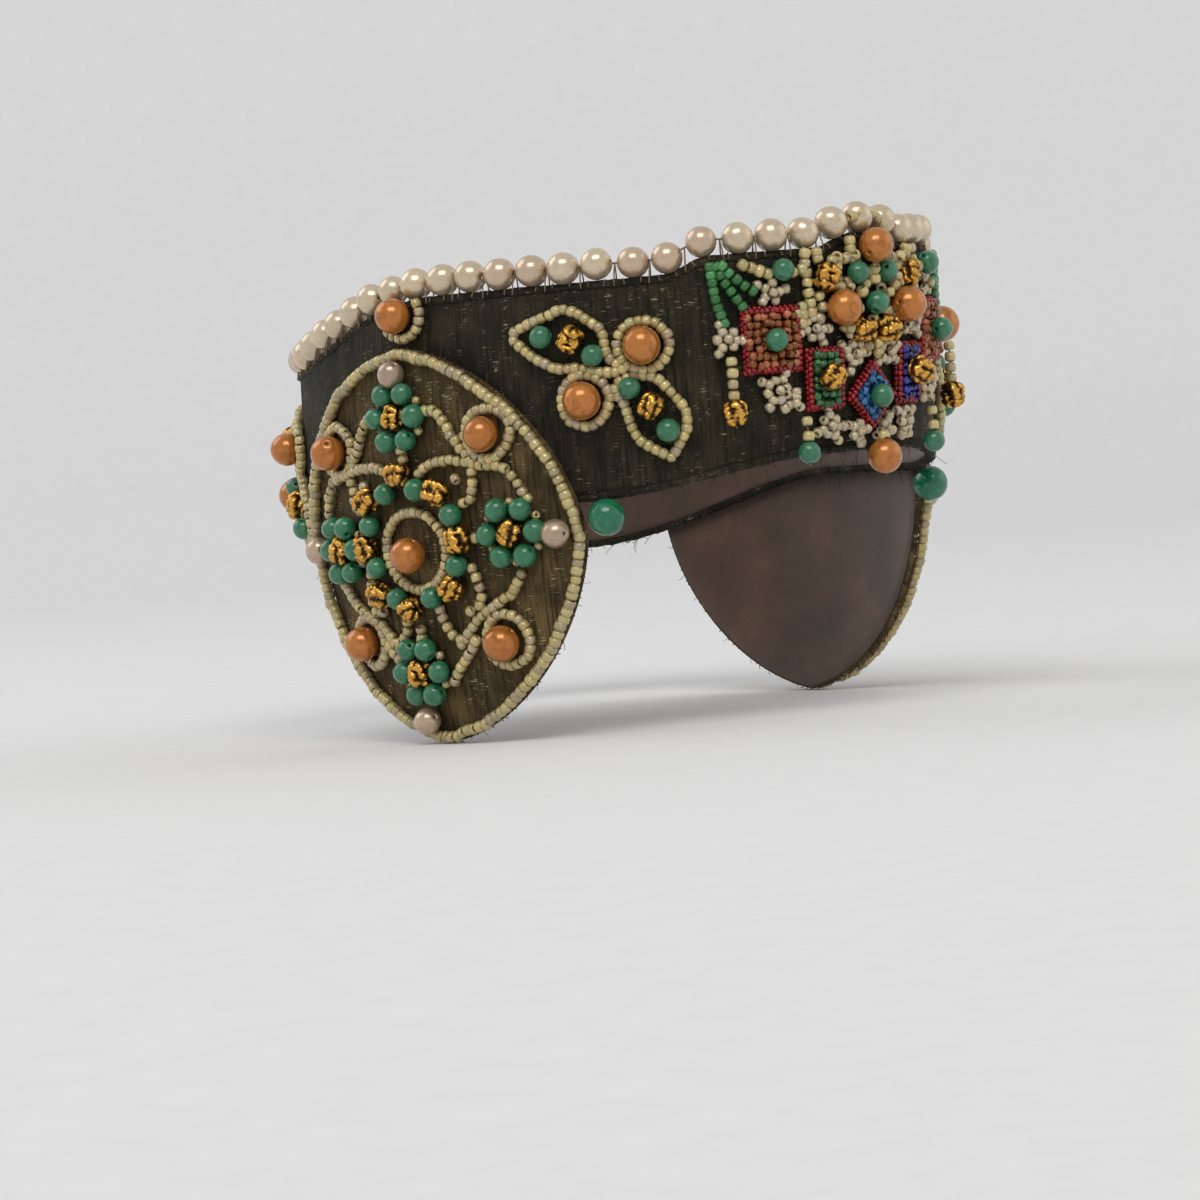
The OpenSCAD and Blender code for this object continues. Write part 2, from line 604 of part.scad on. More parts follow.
ball_l = 0.9;
module stud_sockets() {
    color("#8d8a80") for (k = [0 : 2]) on_cloth(stud_s, stud_z(k), touch) difference() {
        cylinder(d = stud_d, h = stud_t);
        cylinder(d = ball_d + 0.5, h = 3 * stud_t, center = true);
    }
}
module tab_studs() {
    color("#a5a298") for (k = [0 : 2]) on_cloth(stud_s, stud_z(k), tab_h - stud_seat) mirror([0, 0, 1]) {
        cylinder(d = stud_d, h = 0.25);
        cylinder(d = ball_d, h = ball_l);
    }
}

band_cover();
band_stiffener();
band_lining();
top_binding();
bottom_binding();
pearl_thread();
pearl_edging();
peak_pearls();
pearl_stitches();
front_spray_seeds();
back_spray_seeds();
spray_coral_pearls();
spray_turquoise_beads();
spray_gold_nuggets();
crest_loops();
crest_coral_pearls();
garland_blue_panel();
right_green_panel();
left_violet_panel();
right_red_panel();
left_red_panel();
right_blossoms();
left_blossoms();
fronds();
crown_swags();
crown_coral_pearls();
crown_turquoise_beads();
crown_gold_nuggets();
stud_sockets();
right_medallion_cover();
right_medallion_stiffener();
right_medallion_lining();
right_medallion_border();
right_medallion_rings();
right_medallion_tendrils();
right_medallion_corals();
right_medallion_turquoises();
right_medallion_nuggets();
right_medallion_pearls();
left_medallion_cover();
left_medallion_stiffener();
left_medallion_lining();
left_medallion_border();
left_medallion_rings();
left_medallion_tendrils();
left_medallion_corals();
left_medallion_turquoises();
left_medallion_nuggets();
left_medallion_pearls();
forehead_coral_drop();
right_turquoise_drop();
left_turquoise_drop();
right_gold_drop();
left_gold_drop();
right_jade_drop();
left_jade_drop();
closing_tab();
tab_studs();
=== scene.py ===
"""A beaded headband with two ear medallions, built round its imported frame."""
import json
import math
import random

import bmesh
import bpy
from bpy.props import FloatProperty, FloatVectorProperty, IntProperty, PointerProperty
from bpy.types import Operator, Panel, PropertyGroup
from mathutils import Matrix, Vector, noise

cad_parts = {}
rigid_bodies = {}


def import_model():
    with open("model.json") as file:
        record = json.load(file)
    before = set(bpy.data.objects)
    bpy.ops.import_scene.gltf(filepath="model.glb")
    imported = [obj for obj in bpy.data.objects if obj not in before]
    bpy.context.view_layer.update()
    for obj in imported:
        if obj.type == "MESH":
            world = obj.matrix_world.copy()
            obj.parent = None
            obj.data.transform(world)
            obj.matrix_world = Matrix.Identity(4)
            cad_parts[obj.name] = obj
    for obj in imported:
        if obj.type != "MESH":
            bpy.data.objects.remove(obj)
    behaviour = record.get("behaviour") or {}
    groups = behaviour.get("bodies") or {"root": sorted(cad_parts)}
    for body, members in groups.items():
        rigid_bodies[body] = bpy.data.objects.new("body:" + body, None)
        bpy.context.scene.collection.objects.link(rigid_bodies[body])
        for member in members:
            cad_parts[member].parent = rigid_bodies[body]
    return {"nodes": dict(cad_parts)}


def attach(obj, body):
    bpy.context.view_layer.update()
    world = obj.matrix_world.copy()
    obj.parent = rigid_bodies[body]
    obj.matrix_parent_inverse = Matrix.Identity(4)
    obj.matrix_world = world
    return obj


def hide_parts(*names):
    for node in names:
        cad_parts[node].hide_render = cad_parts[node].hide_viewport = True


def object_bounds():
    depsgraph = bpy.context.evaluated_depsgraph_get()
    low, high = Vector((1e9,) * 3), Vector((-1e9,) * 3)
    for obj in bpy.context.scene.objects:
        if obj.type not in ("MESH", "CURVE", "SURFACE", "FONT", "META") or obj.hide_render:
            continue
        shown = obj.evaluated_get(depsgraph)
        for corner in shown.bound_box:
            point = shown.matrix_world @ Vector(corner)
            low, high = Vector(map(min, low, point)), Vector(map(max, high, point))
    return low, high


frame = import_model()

bl_info = {
    "name": "Beaded Headband",
    "version": (1, 0, 0),
    "blender": (4, 5, 0),
    "location": "View3D > Sidebar > Headband",
    "description": "Makes the cloth, beads, threads and drops of a headband on its packed frame",
    "category": "Add Mesh",
}

MM = 0.001
SIDES = (("right", 1), ("left", -1))
CAD_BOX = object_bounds()
UP = Vector((0, 0, 1))

# ---------------------------------------------------------------- the head's surface, in millimetres
# A place on the cloth is (s, z): s runs round the band from the centre front, towards the wearer's
# right where it is positive, and z runs up. A height h stands out of the cloth.
END_RADIUS = 68.0
SIDE_RADIUS = 115.0
END_ANGLE = 50.0
UPRIGHT_RADIUS = 400.0
WIDEST_LEVEL = -12.0
FRONT_FLARE = 40.0
TOP_LEVEL = 19.5
BOTTOM_LEVEL = -27.0
FRONT_RISE = 4.0
PEAK_RISE = 3.5
NAPE_DIP = 17.0
SIDE_DROP = 7.5
COVER_T = 0.8
STIFFENER_T = 1.2
LINING_T = 0.6
BAND_BACK = -(COVER_T + STIFFENER_T + LINING_T)
END_LEN = math.radians(END_ANGLE) * END_RADIUS
SIDE_LEN = 2 * math.radians(90 - END_ANGLE) * SIDE_RADIUS
HALF_GIRTH = 2 * END_LEN + SIDE_LEN
END_CENTRE = (SIDE_RADIUS - END_RADIUS) * math.cos(math.radians(END_ANGLE))
SIDE_CENTRE = (SIDE_RADIUS - END_RADIUS) * math.sin(math.radians(END_ANGLE))
BINDING_R = 1.0
TOUCH = 0.05


def step_up(a, b, x):
    """Rises smoothly from 0 at a to 1 at b."""
    t = min(1.0, max(0.0, (x - a) / (b - a)))
    return t * t * (3 - 2 * t)


def turn_at(u):
    """How far the band has turned, in radians, at a distance from the centre front."""
    if u < END_LEN:
        return u / END_RADIUS
    if u < END_LEN + SIDE_LEN:
        return math.radians(END_ANGLE) + (u - END_LEN) / SIDE_RADIUS
    return math.radians(180 - END_ANGLE) + (u - END_LEN - SIDE_LEN) / END_RADIUS


def out_dir(s):
    side = 1 if s < 0 else -1
    a = turn_at(abs(s))
    return Vector((side * math.sin(a), -math.cos(a), 0))


def base_point(s):
    u = abs(s)
    side = 1 if s < 0 else -1
    if u < END_LEN:
        return Vector((0, -END_CENTRE, 0)) + END_RADIUS * out_dir(s)
    if u < END_LEN + SIDE_LEN:
        return Vector((-side * SIDE_CENTRE, 0, 0)) + SIDE_RADIUS * out_dir(s)
    return Vector((0, END_CENTRE, 0)) + END_RADIUS * out_dir(s)


def level(s):
    return WIDEST_LEVEL + FRONT_FLARE * (1 - step_up(0, 95, abs(s)))


def normal(s, z):
    lean = math.atan((z - level(s)) / UPRIGHT_RADIUS)
    return math.cos(lean) * out_dir(s) + math.sin(lean) * UP


def surf(s, z, h=0.0):
    """The point at (s, z), h millimetres out of the cloth, in metres."""
    bulge = (z - level(s)) ** 2 / (2 * UPRIGHT_RADIUS)
    return MM * (base_point(s) + z * UP - bulge * out_dir(s) + h * normal(s, z))


def dip(s):
    return NAPE_DIP * step_up(128, 215, abs(s))


def top_z(s):
    rise = FRONT_RISE * (1 - step_up(46, 60, abs(s)))
    peak = PEAK_RISE * (1 - step_up(3, 17, abs(s)))
    return TOP_LEVEL + rise + peak - dip(s)


def bottom_z(s):
    return BOTTOM_LEVEL - SIDE_DROP * step_up(15, 85, abs(s)) - dip(s)


def on_cloth_dir(s, z, degrees):
    """A direction on the cloth: 0 degrees points to the front of a right-hand piece, 90 points up."""
    n = normal(s, z)
    across = UP.cross(n).normalized()
    if s < 0:
        across = -across
    up = n.cross(UP.cross(n).normalized())
    a = math.radians(degrees)
    return math.cos(a) * across + math.sin(a) * up


# ---------------------------------------------------------------- places on the piece, in millimetres
PEARL_COUNT = 58
PEARL_PITCH = 2 * HALF_GIRTH / PEARL_COUNT
LAST_PEARL = 27
FIRST_PEARL = LAST_PEARL - PEARL_COUNT + 1
PEAK_EACH_SIDE = 2
SLIT_S = (LAST_PEARL + 0.5) * PEARL_PITCH
SLIT_GAP = 0.5
BAND_FROM = -(2 * HALF_GIRTH - SLIT_S) + SLIT_GAP / 2
BAND_TO = SLIT_S - SLIT_GAP / 2
MEDALLION_S = 138.0
MEDALLION_Z = -45.0
MEDALLION_HALF = 53.0
MEDALLION_ARC = 62.0
MEDALLION_H = (0.6, 1.1, 2.1, 2.8)
CREST_S = MEDALLION_S
CREST_Z = MEDALLION_Z + MEDALLION_HALF + 8.9
JADE_S = MEDALLION_S - MEDALLION_HALF - 6
JADE_OUT = 2.6
JADE_STRING = 1.2
JADE_R = 4.8
# Each other drop: s, z and height of its hinge, length of its string, height of its bead.
FOREHEAD_DROP = (0.0, -23.5, 5.6, 1.6, 9.4)
TURQUOISE_DROP = (24.6, -18.0, 4.6, 6.4, 6.1)
GILT_DROP = (43.8, -1.2, 4.6, 11.0, 7.2)
TAB_L = 22.0
TAB_IN = 3.0
TAB_H = 1.75
TAB_T = 1.6
SPRAYS = ((75.0, -4.0), (226.0, -24.0))
# Outlines and bead places of one spray, from its middle: (towards the back, up).
LEAF_OUTLINES = (
    ((25.9, 13.7), (16.7, 16.9), (11, 18.5), (3.3, 14), (1.1, 11.2), (-0.3, 5), (-3.5, 1), (8, 2.8),
     (16.2, 4.2), (23.8, 9.3)),
    ((-6.8, -0.2), (-11.2, -0.8), (-16, -5.7), (-18.5, -9.8), (-18.5, -16.1), (-15.3, -20.6),
     (-13.9, -22), (-8.9, -19), (-5, -15), (-3, -8.3), (-0.9, -2.6)),
)
LEAF_TURQUOISES = ((17.6, 11.7), (4, 6.1), (-5.2, -3.2), (-14.1, -14.9))
LEAF_NUGGETS = ((9.4, 10.5, 160), (-10.3, -8.3, -40))
SPRAY_CORALS = ((-9.2, 7.7), (7.4, -5.6))
BLUE_PLACE = (0.0, -14.0, 13.9, 13.9, 45.0)
GREEN_PLACE = (16.6, -8.8, 12.4, 17.0, 0.0)
RED_PLACE = (31.8, 2.4, 17.0, 18.0, 0.0)
# The oblong panel on each side: its bead finish, slot and node. Both sides' pieces are named green.
OBLONG_PANELS = {1: ("green_seed", "green_seeds", "right_green_panel"),
                 -1: ("violet_seed", "violet_seeds", "left_violet_panel")}
# Blossoms: s, z, radius and how many seeds reach out of the middle.
BLOSSOMS = ((31, 14.9, 3.1, 5), (43.8, 3.4, 3.3, 6), (31, -10.8, 3.9, 8), (19.4, 4.8, 3.6, 7),
            (6.6, -2.6, 3.6, 7), (15.4, -21.2, 3.4, 7), (5.6, -23.2, 2.8, 5), (26.4, -14.6, 2.2, 3))
FROND_TOP = (47.0, 22.6)
FROND_FEET = ((44.4, 7.6), (39.2, 11.6), (36.4, 15.4))
CROWN_CORALS = ((12, 9.6),)
CROWN_TURQUOISES = ((28.2, 20.4), (5.4, 18.6))
CROWN_NUGGETS = ((16, 18, 80), (4.4, 3.4, 10))
CROWN_STRINGS = (
    ((38.4, 22.4), (35.6, 21), (33, 20), (31.6, 19.8)),
    ((24.9, 19.6), (23.4, 19.8), (22, 20.4)),
    ((21, 24.4), (21, 19), (20.8, 14), (20.2, 9)),
    ((17.6, 24.6), (17.2, 23)),
    ((17.6, 13), (16.6, 11), (17.8, 7.2)),
    ((12.6, 20.4), (10.8, 21.8), (8.6, 22.2)),
    ((13, 15.6), (10.6, 15.2), (8.4, 16)),
    ((9.6, 4.2), (8.6, 6), (6.9, 8)),
    ((24.4, 8.6), (22.9, 10.6), (22.9, 6)),
)
# Medallion details, from its centre: (towards the front, up).
MEDALLION_TURQUOISES = ((-7, 15), (4.6, 15.4), (15.6, 8.2), (15.4, -5), (5, -13.4), (-8, -13.2),
                        (-14.6, -4.6), (-15.2, 6.6))
MEDALLION_NUGGETS = ((-1, 20), (11.6, 14.4), (17, 1.6), (12.6, -11), (-3, -16.4), (-14.6, -12), (-18, 0.6),
                     (-14.6, 13.2))
ROSETTES = ((-0.5, 35), (33.2, 2.6), (-4, -33.2), (-30.5, 0.4))
ROSETTE_R = 7.0
MIDDLE_CORAL = (0.6, -1.4)
MEDALLION_CORALS = ((28.5, 29), (27, -26), (-26, -25), (-28.5, 27))
MEDALLION_PEARLS = ((0, 46.4), (46, 1.6), (-5, -46.2), (-44.5, 0.6))
TENDRILS_UP = (
    ((9.6, 36.4), (13, 35.4), (15.2, 32.4), (18, 28.4), (21, 24.4), (22.6, 22)),
    ((5.4, 19.8), (8, 21.6), (11, 22.4), (16, 22.6), (23, 21.6), (29, 20.4), (32.4, 19.6)),
    ((22.8, 19), (22.4, 16), (22.2, 12.6), (19.6, 11.2)),
    ((34.6, 17.4), (37, 13.4), (38.4, 11)),
)
TENDRILS_DOWN = (
    ((34.2, -8.4), (31.2, -13), (25.4, -16.4), (19.4, -19.6), (14.4, -24), (12, -26.4)),
    ((19.2, -6.2), (20.4, -10.6), (21, -14), (20, -16.2)),
    ((6.2, -16.6), (7.2, -20.6), (8.4, -23.2), (11.6, -25)),
    ((16.8, -25.6), (12.4, -30.6), (6.6, -36)),
)


def on_medallion(side, p, q):
    return side * (MEDALLION_S - p), MEDALLION_Z + q


def edge_r(a):
    """The medallion's radius at an angle in radians: four arcs that meet at its corners."""
    chord = MEDALLION_HALF * math.sqrt(0.5)
    back = math.sqrt(MEDALLION_ARC ** 2 - chord ** 2) - chord
    b = a - math.pi / 2 * math.floor(a / (math.pi / 2)) - math.pi / 4
    return math.sqrt(MEDALLION_ARC ** 2 - (back * math.sin(b)) ** 2) - back * math.cos(b)


# ---------------------------------------------------------------- node trees
class Wire:
    """One socket in a node tree. Arithmetic on it adds Math nodes."""

    def __init__(self, bench, socket):
        self.bench = bench
        self.socket = socket

    def math(self, operation, *values):
        return self.bench.make("ShaderNodeMath", {"operation": operation}, dict(enumerate(values)))

    def __add__(self, other):
        return self.math("ADD", self, other)

    def __radd__(self, other):
        return self.math("ADD", other, self)

    def __sub__(self, other):
        return self.math("SUBTRACT", self, other)

    def __rsub__(self, other):
        return self.math("SUBTRACT", other, self)

    def __mul__(self, other):
        return self.math("MULTIPLY", self, other)

    def __rmul__(self, other):
        return self.math("MULTIPLY", other, self)

    def sine(self):
        return self.math("SINE", self)

    def fade(self, low, high):
        """0 below low and 1 above high, with a smooth step between."""
        sockets = {"Value": self, "From Min": low, "From Max": high, "To Min": 0.0, "To Max": 1.0}
        return self.bench.make("ShaderNodeMapRange", {"interpolation_type": "SMOOTHSTEP"}, sockets)


class Bench:
    """Makes and joins the nodes of one tree."""

    def __init__(self, tree):
        self.tree = tree

    def make(self, kind, settings=None, sockets=None, out=0):
        node = self.tree.nodes.new(kind)
        for key, value in (settings or {}).items():
            if key == "stops":
                self.set_stops(node.color_ramp.elements, value)
            else:
                setattr(node, key, value)
        for key, value in (sockets or {}).items():
            if isinstance(value, Wire):
                self.tree.links.new(value.socket, node.inputs[key])
            else:
                node.inputs[key].default_value = value
        return Wire(self, node.outputs[out]) if node.outputs else None

    @staticmethod
    def set_stops(elements, stops):
        while len(elements) < len(stops):
            elements.new(1.0)
        for element, (place, colour) in zip(elements, stops):
            element.position = place
            element.color = rgba(colour)


def rgba(colour):
    return (*tuple(colour)[:3], 1.0)


def tint(colour, factor):
    """The colour made lighter or darker."""
    return tuple(min(1.0, c * factor) for c in tuple(colour)[:3])


def blend_colours(a, b, t):
    return tuple(x + (y - x) * t for x, y in zip(tuple(a)[:3], tuple(b)[:3]))


COAT_ROUGHNESS = 0.08


class Finish(Bench):
    """A material, made from its nodes."""

    def __init__(self, name):
        self.material = bpy.data.materials.new(name)
        self.material.use_nodes = True
        super().__init__(self.material.node_tree)
        self.tree.nodes.clear()

    def place(self):
        return self.make("ShaderNodeTexCoord", out="Object")

    def flat(self):
        return self.make("ShaderNodeUVMap", {"uv_map": "UVMap"})

    def attribute(self, name):
        return self.make("ShaderNodeAttribute", {"attribute_name": name}, out="Fac")

    def stretch(self, vector, factors):
        return self.make("ShaderNodeVectorMath", {"operation": "MULTIPLY"}, {0: vector, 1: factors})

    def split(self, vector, axis):
        return self.make("ShaderNodeSeparateXYZ", None, {0: vector}, out=axis)

    def noise(self, vector, scale=1.0, detail=3.0, roughness=0.55, distortion=0.0):
        sockets = {"Vector": vector, "Scale": scale, "Detail": detail, "Roughness": roughness,
                   "Distortion": distortion}
        return self.make("ShaderNodeTexNoise", None, sockets)

    def ramp(self, factor, *stops):
        return self.make("ShaderNodeValToRGB", {"stops": stops}, {0: factor})

    def mix(self, factor, a, b):
        a, b = (c if isinstance(c, Wire) else rgba(c) for c in (a, b))
        return self.make("ShaderNodeMix", {"data_type": "RGBA"}, {0: factor, 6: a, 7: b}, out=2)

    def bump(self, height, strength, distance):
        sockets = {"Strength": strength, "Distance": distance, "Height": height}
        return self.make("ShaderNodeBump", None, sockets)

    def done(self, colour, roughness, metallic=0.0, normal=None, coat=0.0, sheen=0.0, specular=0.5):
        sockets = {"Base Color": colour, "Roughness": roughness, "Metallic": metallic, "Coat Weight": coat,
                   "Sheen Weight": sheen, "Coat Roughness": COAT_ROUGHNESS, "Specular IOR Level": specular}
        if normal:
            sockets["Normal"] = normal
        shader = self.make("ShaderNodeBsdfPrincipled", None, sockets)
        self.make("ShaderNodeOutputMaterial", None, {"Surface": shader})
        return self.material


class Tree(Bench):
    """A Geometry Nodes tree with named inputs."""

    def __init__(self, name, inputs):
        super().__init__(bpy.data.node_groups.new(name, "GeometryNodeTree"))
        face = self.tree.interface
        face.new_socket("Geometry", in_out="INPUT", socket_type="NodeSocketGeometry")
        self.names = {}
        for label, kind in inputs:
            self.names[label] = face.new_socket(label, in_out="INPUT", socket_type=kind).identifier
        face.new_socket("Geometry", in_out="OUTPUT", socket_type="NodeSocketGeometry")

    def given(self, label):
        return self.make("NodeGroupInput", None, None, out=label)

    def scatter(self, low, high, seed, kind="FLOAT"):
        """A random number, whole number or vector for each bead."""
        first = {"FLOAT_VECTOR": 0, "FLOAT": 2, "INT": 4}[kind]
        out = {"FLOAT_VECTOR": 0, "FLOAT": 1, "INT": 2}[kind]
        settings = {"data_type": kind}
        return self.make("FunctionNodeRandomValue", settings, {first: low, first + 1: high, 8: seed}, out=out)

    def named(self, name, kind):
        return self.make("GeometryNodeInputNamedAttribute", {"data_type": kind}, {"Name": name})


BEAD_INPUTS = (("Pitch", "NodeSocketFloat"), ("Tilt", "NodeSocketFloat"), ("Spin", "NodeSocketFloat"),
               ("Wander", "NodeSocketFloat"), ("Uneven", "NodeSocketFloat"), ("Seed", "NodeSocketInt"),
               ("Beads", "NodeSocketCollection"), ("Finish", "NodeSocketMaterial"))


def bead_tree(name, strung):
    """Beads on every line of the mesh, a pitch apart, or on every point of it."""
    t = Tree(name, BEAD_INPUTS)
    seed = t.given("Seed")
    points = t.given("Geometry")
    if strung:
        points = t.make("GeometryNodeMeshToCurve", None, {"Mesh": points})
        settings = {"mode": "LENGTH"}
        points = t.make("GeometryNodeResampleCurve", settings, {"Curve": points, "Length": t.given("Pitch")})
        along = t.make("GeometryNodeInputTangent")
    else:
        along = t.named("along", "FLOAT_VECTOR")
    out = t.named("out", "FLOAT_VECTOR")
    axes = {"primary_axis": "Z", "secondary_axis": "X"}
    straight = t.make("FunctionNodeAxesToRotation", axes, {"Primary Axis": along, "Secondary Axis": out})
    tilt = t.given("Tilt")
    spin = t.given("Spin")
    most = t.make("ShaderNodeCombineXYZ", None, {0: tilt, 1: tilt, 2: spin})
    least = t.make("ShaderNodeCombineXYZ", None, {0: tilt * -1, 1: tilt * -1, 2: spin * -1})
    turn = t.make("FunctionNodeEulerToRotation", None, {0: t.scatter(least, most, seed, "FLOAT_VECTOR")})
    rotation = t.make("FunctionNodeRotateRotation", {"rotation_space": "LOCAL"}, {0: straight, 1: turn})
    shift = t.scatter((-1, -1, -1), (1, 1, 1), seed + 1, "FLOAT_VECTOR")
    shift = t.make("ShaderNodeVectorMath", {"operation": "SCALE"}, {0: shift, "Scale": t.given("Wander")})
    points = t.make("GeometryNodeSetPosition", None, {"Geometry": points, "Offset": shift})
    uneven = t.given("Uneven")
    size = t.scatter(1 - uneven, 1 + uneven, seed + 2) * t.named("size", "FLOAT")
    beads = t.make("GeometryNodeCollectionInfo", {"transform_space": "ORIGINAL"},
                   {"Collection": t.given("Beads"), "Separate Children": True, "Reset Children": True})
    sockets = {"Points": points, "Instance": beads, "Pick Instance": True, "Rotation": rotation, "Scale": size,
               "Instance Index": t.scatter(0, 11, seed + 3, "INT")}
    strings = t.make("GeometryNodeInstanceOnPoints", None, sockets)
    sockets = {"Geometry": strings, "Name": "tone", "Value": t.scatter(0.0, 1.0, seed + 4)}
    strings = t.make("GeometryNodeStoreNamedAttribute", {"data_type": "FLOAT", "domain": "INSTANCE"}, sockets)
    strings = t.make("GeometryNodeRealizeInstances", None, {"Geometry": strings})
    strings = t.make("GeometryNodeSetMaterial", None, {"Geometry": strings, "Material": t.given("Finish")})
    t.make("NodeGroupOutput", None, {0: strings})
    return t


# ---------------------------------------------------------------- meshes
def new_piece(name, points, faces, finish, flat=None, tidy=True, depth=None):
    """An object at the origin from points in metres, with its flat map and its finish."""
    mesh = bpy.data.meshes.new(name)
    mesh.from_pydata([tuple(p) for p in points], [], faces)
    if depth is not None:
        mesh.attributes.new("depth", "FLOAT", "POINT").data.foreach_set("value", depth)
    if flat is not None:
        layer = mesh.uv_layers.new(name="UVMap")
        for loop in mesh.loops:
            layer.data[loop.index].uv = flat[loop.vertex_index]
    if tidy:
        work = bmesh.new()
        work.from_mesh(mesh)
        bmesh.ops.recalc_face_normals(work, faces=work.faces)
        work.to_mesh(mesh)
        work.free()
    mesh.shade_smooth()
    if finish:
        mesh.materials.append(finish)
    piece = bpy.data.objects.new(name, mesh)
    bpy.context.scene.collection.objects.link(piece)
    return piece


def settle(piece, body, slot, *nodes):
    """Puts the piece on its body, in place of its nodes."""
    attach(piece, body)
    if nodes:
        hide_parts(*nodes)
    return piece


def grid_faces(rows, cols, first=0, wrap_rows=False, wrap_cols=False):
    faces = []
    for r in range(rows if wrap_rows else rows - 1):
        for c in range(cols if wrap_cols else cols - 1):
            r2 = (r + 1) % rows
            c2 = (c + 1) % cols
            corners = (r * cols + c, r * cols + c2, r2 * cols + c2, r2 * cols + c)
            faces.append(tuple(first + k for k in corners))
    return faces


def closed_sheet(name, front, back, flat, finish):
    """A closed sheet between two grids of points of the same size."""
    rows = len(front)
    cols = len(front[0])
    loop = [f + b[::-1] for f, b in zip(front, back)]
    points = [p for row in loop for p in row]
    width = 2 * cols
    faces = grid_faces(rows, width, wrap_cols=True)
    for r in (0, rows - 1):
        for c in range(cols - 1):
            faces.append((r * width + c, r * width + c + 1, (r + 1) * width - 2 - c, (r + 1) * width - 1 - c))
    uvs = [uv for f in flat for uv in f + f[::-1]]
    return new_piece(name, points, faces, finish, uvs)


def tube_rings(points, radius, sides):
    """Rings of points round a path in metres."""
    rings = []
    lead = None
    for i, p in enumerate(points):
        along = (points[min(i + 1, len(points) - 1)] - points[max(i - 1, 0)]).normalized()
        if lead is None:
            lead = along.orthogonal().normalized()
        lead = (lead - along * lead.dot(along)).normalized()
        other = along.cross(lead)
        r = radius(i) if callable(radius) else radius
        ring = []
        for k in range(sides):
            a = 2 * math.pi * k / sides
            ring.append(p + r * (math.cos(a) * lead + math.sin(a) * other))
        rings.append(ring)
    return rings


def tubes(name, paths, radius, finish, sides=6):
    """Closed tubes along several paths, as one piece, with the map's u along each tube."""
    points, faces, flat = [], [], []
    for path in paths:
        first = len(points)
        rings = tube_rings(path, radius, sides)
        run = 0.0
        for i, ring in enumerate(rings):
            run += (path[i] - path[i - 1]).length if i else 0.0
            points += ring
            flat += [(run, k / sides) for k in range(sides)]
        faces += grid_faces(len(rings), sides, first, wrap_cols=True)
        faces.append(tuple(range(first, first + sides)))
        faces.append(tuple(first + (len(rings) - 1) * sides + k for k in range(sides)))
    return new_piece(name, points, faces, finish, flat)


def curve_at(p, q, r, w, t):
    """A share t of the way along the smooth curve from q to r, with p before them and w after."""
    square = (2 * p - 5 * q + 4 * r - w) * t * t
    cube = (3 * q - p - 3 * r + w) * t ** 3
    return 0.5 * (2 * q + (r - p) * t + square + cube)


def smooth_line(places, step=1.2, closed=False):
    """A smooth run of places through the ones given."""
    n = len(places)
    count = n if closed else n - 1
    line = []
    for i in range(count):
        if closed:
            a, b, c, d = (places[(i + k) % n] for k in (-1, 0, 1, 2))
        else:
            a, b, c, d = (places[min(n - 1, max(0, i + k))] for k in (-1, 0, 1, 2))
        steps = max(1, round(math.dist(b, c) / step))
        for j in range(steps):
            line.append(tuple(curve_at(*near, j / steps) for near in zip(a, b, c, d)))
    return line if closed else line + [tuple(places[-1])]


# ---------------------------------------------------------------- bead blanks
def lathe(name, profile, sides, bend):
    """A closed profile of (radius, height) in metres, turned round z and bent."""
    points = []
    for k in range(sides):
        a = 2 * math.pi * k / sides
        for r, z in profile:
            points.append(bend(Vector((r * math.cos(a), r * math.sin(a), z))))
    return new_piece(name, points, grid_faces(sides, len(profile), wrap_rows=True, wrap_cols=True), None)


def keep_blank(box, piece):
    bpy.context.scene.collection.objects.unlink(piece)
    box.objects.link(piece)


def ring_profile(d, w, hole):
    """An oval section round the thread hole."""
    middle = (1 + hole) / 2
    reach = (1 - hole) / 2
    steps = 7
    angles = [2 * math.pi * (i + 0.5) / steps for i in range(steps)]
    return [(d / 2 * (middle + reach * math.cos(a)), w / 2 * math.sin(a)) for a in angles]


def ball_profile(d, hole, steps):
    r = d / 2
    start = math.asin(hole / r)
    angles = [start + (math.pi - 2 * start) * i / steps for i in range(steps + 1)]
    ball = [(r * math.sin(a), -r * math.cos(a)) for a in angles]
    return [(hole * 0.8, -r * 0.8)] + ball + [(hole * 0.8, r * 0.8)]


def seed_blanks(label, d, w):
    """Four uneven ring beads."""
    box = bpy.data.collections.new(label)
    for k in range(4):
        rng = random.Random(100 + k)
        wide = 1 + rng.uniform(-0.06, 0.06)
        skew = rng.uniform(-0.12, 0.12)

        def bend(p, wide=wide, skew=skew):
            return Vector((p.x * wide, p.y / wide, p.z * (1 + skew * p.x / (d / 2))))
        keep_blank(box, lathe(f"{label}_{k}", ring_profile(d, w * rng.uniform(0.92, 1.1), 0.3), 10, bend))
    return box


def ball_blanks(label, d, hole, sides, steps, rough, count=3):
    """Round beads, each a little out of true."""
    box = bpy.data.collections.new(label)
    for k in range(count):
        shift = Vector((3.7 * k, 1.3, 9.1))

        def bend(p, shift=shift):
            return p * (1 + rough * noise.noise(p / d * 1.6 + shift))
        keep_blank(box, lathe(f"{label}_{k}", ball_profile(d, hole, steps), sides, bend))
    return box


